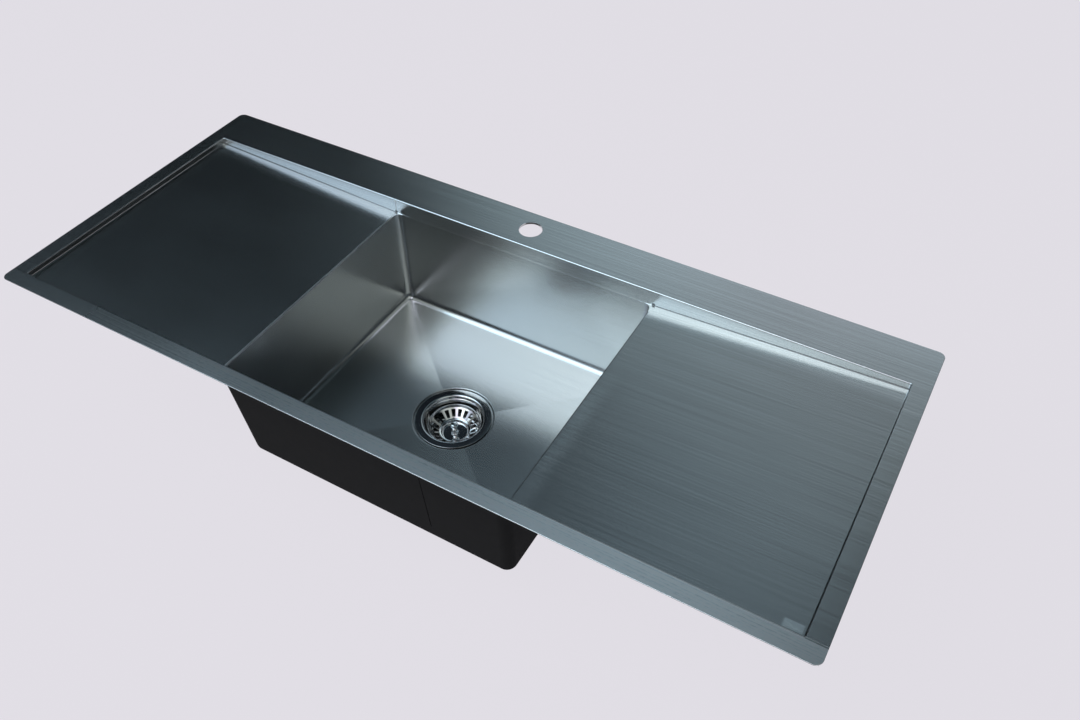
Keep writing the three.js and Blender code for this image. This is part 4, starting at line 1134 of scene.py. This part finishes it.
# %% [markdown]
# ## Under the drainboards and the ledge
#
# Nobody sees these pieces once the sink is in, but they make it work. Each drainboard has a
# bitumen pad against noise and two pressed hat sections against bending, and the ledge has a
# plate that spreads the load of the tap.

# %% Pads
PAD, PAD_MARGIN, PAD_WIDTH, PAD_CORNER_R = 3, 40, 150, 10

def under_board(form, side):
    """Shears a form, drawn with its top at z = 0, against the underside of a board."""
    points, faces = form
    return [(side * x, y, z + board_z(x) - SHEET - GAP) for x, y, z in points], faces

for side, hand in ((-1, "left"), (1, "right")):
    reach = (BOWL_HALF + PAD_MARGIN, RECESS_HALF - PAD_MARGIN)
    pad = slab(*reach, MIDDLE_Y - PAD_WIDTH / 2, MIDDLE_Y + PAD_WIDTH / 2, PAD_CORNER_R,
               [(0, 0), (-PAD + 0.9, 0), (-PAD + 0.3, 0.25), (-PAD, 0.9)])
    dress(mesh_object(f"sound_pad_{hand}", under_board(pad, side)), "sink", "bitumen_pad",
          f"board_pad_{hand}")

# %% Stiffeners
HAT_HALF, CROWN_HALF, HAT_HEIGHT, HAT_MARGIN, HAT_SPACING = 17, 8, 12, 25, 230
WELD_PITCH, WELD_OUT, WELD_START = 45, 12.5, 15
DOME = ((0.6, 2.4), (0, 2.4), (-0.15, 1.8), (-0.25, 0.72))  # heights and radii

def mirrored(corners):
    return corners + [(-x, y, r) for x, y, r in reversed(corners)]

def along_x(section, start, end):
    """A bar along X, from a closed section of (y, z) points."""
    return skin([[(x, y, z) for y, z in section] for x in (start, end)])

def weld_dots(xs, y, z):
    """Shallow domes that hang below a sheet, where it was spot welded."""
    return together(skin([[(x + r * math.cos(t), y + r * math.sin(t), z + rise)
                           for t in turns(20)] for rise, r in DOME]) for x in xs)

hat = mirrored([
    (CROWN_HALF - 1, 1 - HAT_HEIGHT, 0.8), (CROWN_HALF - 1, 0, 1.6), (HAT_HALF, 0, 0.15),
    (HAT_HALF, -1, 0.3), (CROWN_HALF, -1, 0.7), (CROWN_HALF, -HAT_HEIGHT, 1.7)])
reach = (BOWL_HALF + HAT_MARGIN, RECESS_HALF - HAT_MARGIN)
dots = [reach[0] + WELD_START + WELD_PITCH * step for step in range(7)]
for side, hand in ((-1, "left"), (1, "right")):
    for row, edge in ((-1, "front"), (1, "back")):
        y = MIDDLE_Y + row * HAT_SPACING / 2
        section = [(y + px, pz) for px, pz in filleted(hat)]
        forms = [under_board(along_x(section, *reach), side)]
        forms += [under_board(weld_dots(dots, y + out, -1), side)
                  for out in (-WELD_OUT, WELD_OUT)]
        stiffener = carve(f"hat_{hand}_{edge}", forms, [])
        dress(stiffener, "sink", "zinc_steel", f"board_stiffener_{hand}_{edge}")

# %% Plate under the tap hole
PLATE_HALF, PLATE_WIDTH, PLATE_CORNER_R = 62, 52, 4
plate_block = slab(-PLATE_HALF, PLATE_HALF, LEDGE_Y - PLATE_WIDTH / 2, LEDGE_Y + PLATE_WIDTH / 2,
                   PLATE_CORNER_R, ((-1, 0.4), (-0.6, 0), (1.1, 0), (1.5, 0.4)))
plate_hole = turned([(0, -9), (18.2, -9), (18.2, -1), (17.8, -0.6), (17.8, 9), (0, 9)],
                    96, LEDGE_Y)
dress(carve("load_plate", [plate_block], [plate_hole]), "sink", "zinc_steel",
      "tap_hole_plate")

# %% [markdown]
# ## Seal, rails and clips
#
# A strip of foam runs round under the rim. Inside it are rolled rails, open below, in which
# the heads of the clip bolts slide. A clip's claw is parked along its rail until the sink is
# in place; then it swings out under the worktop and its nut pulls it up.

# %% Foam seal
SEAL_X, SEAL_Y = LENGTH / 2 - 5.5, WIDTH / 2 - 5.5
foam = filleted([(-2.5, 0, 0.5), (2.5, 0, 0.5), (2.5, 1.5, 0.3), (-2.5, 1.5, 0.3)], 4)

BAR_CUTS = 24

def lying(name, section, length, x, y, z, turn, slot, node):
    """A bar that lies along X, turned about Z at its place."""
    rings = [[(length * (step / BAR_CUTS - 0.5), *point) for point in section]
             for step in range(BAR_CUTS + 1)]
    piece = mesh_object(name, skin(rings))
    piece.location = (x * MM, y * MM, z * MM)
    piece.rotation_euler.z = turn
    dress(piece, "sink", slot, node)

quarter = math.pi / 2
LONG_SEAL, SHORT_SEAL = LENGTH - 6, 2 * SEAL_Y - 5.6
for name, length, x, y, turn in (
        ("front", LONG_SEAL, 0, -SEAL_Y, 0), ("back", LONG_SEAL, 0, SEAL_Y, 0),
        ("left", SHORT_SEAL, -SEAL_X, 0, quarter), ("right", SHORT_SEAL, SEAL_X, 0, quarter)):
    lying(f"foam_{name}", foam, length, x, y, 0, turn, "foam_seal", f"rim_seal_{name}")

# %% Rails
RAIL_TOP, RAIL_X, RAIL_Y = DECK_UNDER - GAP, LENGTH / 2 - 16.5, WIDTH / 2 - 16.5
BACK_RAIL, FRONT_RAIL, END_RAIL, MIDDLE_RAIL = 470, 310, 420, 380
channel = mirrored([
    (5, -1, 0.5), (5, -7, 0.5), (3.4, -7, 0.1), (3.4, -8, 0.3), (6, -8, 1.2), (6, 0, 1.2)])
for name, length, x, y, turn in (
        ("back_left", BACK_RAIL, -325, RAIL_Y, 0), ("back_right", BACK_RAIL, 325, RAIL_Y, 0),
        ("front_left", FRONT_RAIL, -405, -RAIL_Y, 0),
        ("front_right", FRONT_RAIL, 405, -RAIL_Y, 0),
        ("front_middle", MIDDLE_RAIL, 0, -RAIL_Y, 0),
        ("left", END_RAIL, -RAIL_X, 0, quarter), ("right", END_RAIL, RAIL_X, 0, quarter)):
    lying(f"channel_{name}", filleted(channel), length, x, y, RAIL_TOP, turn,
          "zinc_steel", f"rail_{name}")

# %% Clip bolt and nut
BOLT_R, BOLT_TOP, BOLT_LENGTH, BOLT_HEAD = 3, -5.5, 64, 3.4
NUT_FOOT, NUT_HEIGHT = -65.5, 5
BOLT_THREAD, BOLT_PITCH = 0.35, 1.0
shank = skin(column([
    (-BOLT_LENGTH, BOLT_R - 0.7),
    *threaded(BOLT_R, BOLT_THREAD, BOLT_PITCH, -BOLT_LENGTH + 0.6, -6, 5),
    (BOLT_HEAD / 2, BOLT_R)], 24, 0))
head = slab(-3, 3, -4.7, 4.7, 0.8,
            ((0, 0.2), (0.2, 0), (BOLT_HEAD - 0.4, 0), (BOLT_HEAD, 0.4)), 3)
bolt_mesh = carve("clip_bolt_form", [head, shank], []).data
nut_mesh = mesh_object("clip_nut_form", hex_nut(10, 3.2, NUT_HEIGHT)).data

# %% Clip claw
CLAW_Z = NUT_FOOT + NUT_HEIGHT + GAP
CLAW_FOOT, CLAW_REACH, CLAW_RISE, HEEL_REACH, HEEL_RISE = 23, 36, 17, 16, 9

strip = [
    (-HEEL_REACH, 0, 2.6), (CLAW_FOOT, 0, 4), (CLAW_REACH, CLAW_RISE, 0.3),
    (CLAW_REACH - 2.4, CLAW_RISE, 0.3), (CLAW_FOOT - 1, 2, 2), (2 - HEEL_REACH, 2, 0.8),
    (2 - HEEL_REACH, HEEL_RISE, 0.4), (-HEEL_REACH, HEEL_RISE, 0.4)]
claw_form = skin([[(x, y, z) for x, z in filleted(strip)] for y in (-8, 8)])
notches = [skin([[(x, y, z) for y, z in (
    (middle, CLAW_RISE - 2.4), (middle + 2.4, CLAW_RISE + GAP),
    (middle - 2.4, CLAW_RISE + GAP))] for x in (CLAW_FOOT, CLAW_REACH + 9)])
    for middle in (-4, 4)]
claw_hole = turned([(0, -9), (3.3, -9), (3.3, 9), (0, 9)], 32, 0)
claw_mesh = carve("clip_claw_form", [claw_form], [*notches, claw_hole]).data

# %% Clips
for form in ("clip_bolt_form", "clip_nut_form", "clip_claw_form"):
    bpy.data.objects.remove(bpy.data.objects[form])

for name, x, y, turn in (
        ("back_1", -465, RAIL_Y, 0), ("back_2", -185, RAIL_Y, 0), ("back_3", 185, RAIL_Y, 0),
        ("back_4", 465, RAIL_Y, 0), ("left", -RAIL_X, 0, quarter), ("right", RAIL_X, 0, -quarter)):
    for kind, mesh, z, body in (("bolt", bolt_mesh, BOLT_TOP, "sink"),
                                ("nut", nut_mesh, NUT_FOOT, f"clip_nut_{name}"),
                                ("claw", claw_mesh, CLAW_Z, f"clip_claw_{name}")):
        piece = bpy.data.objects.new(f"{kind}_{name}", mesh)
        scene.collection.objects.link(piece)
        piece.location = (x * MM, y * MM, z * MM)
        piece.rotation_euler.z = turn
        dress(piece, body, "zinc_steel", f"clip_{kind}_{name}")
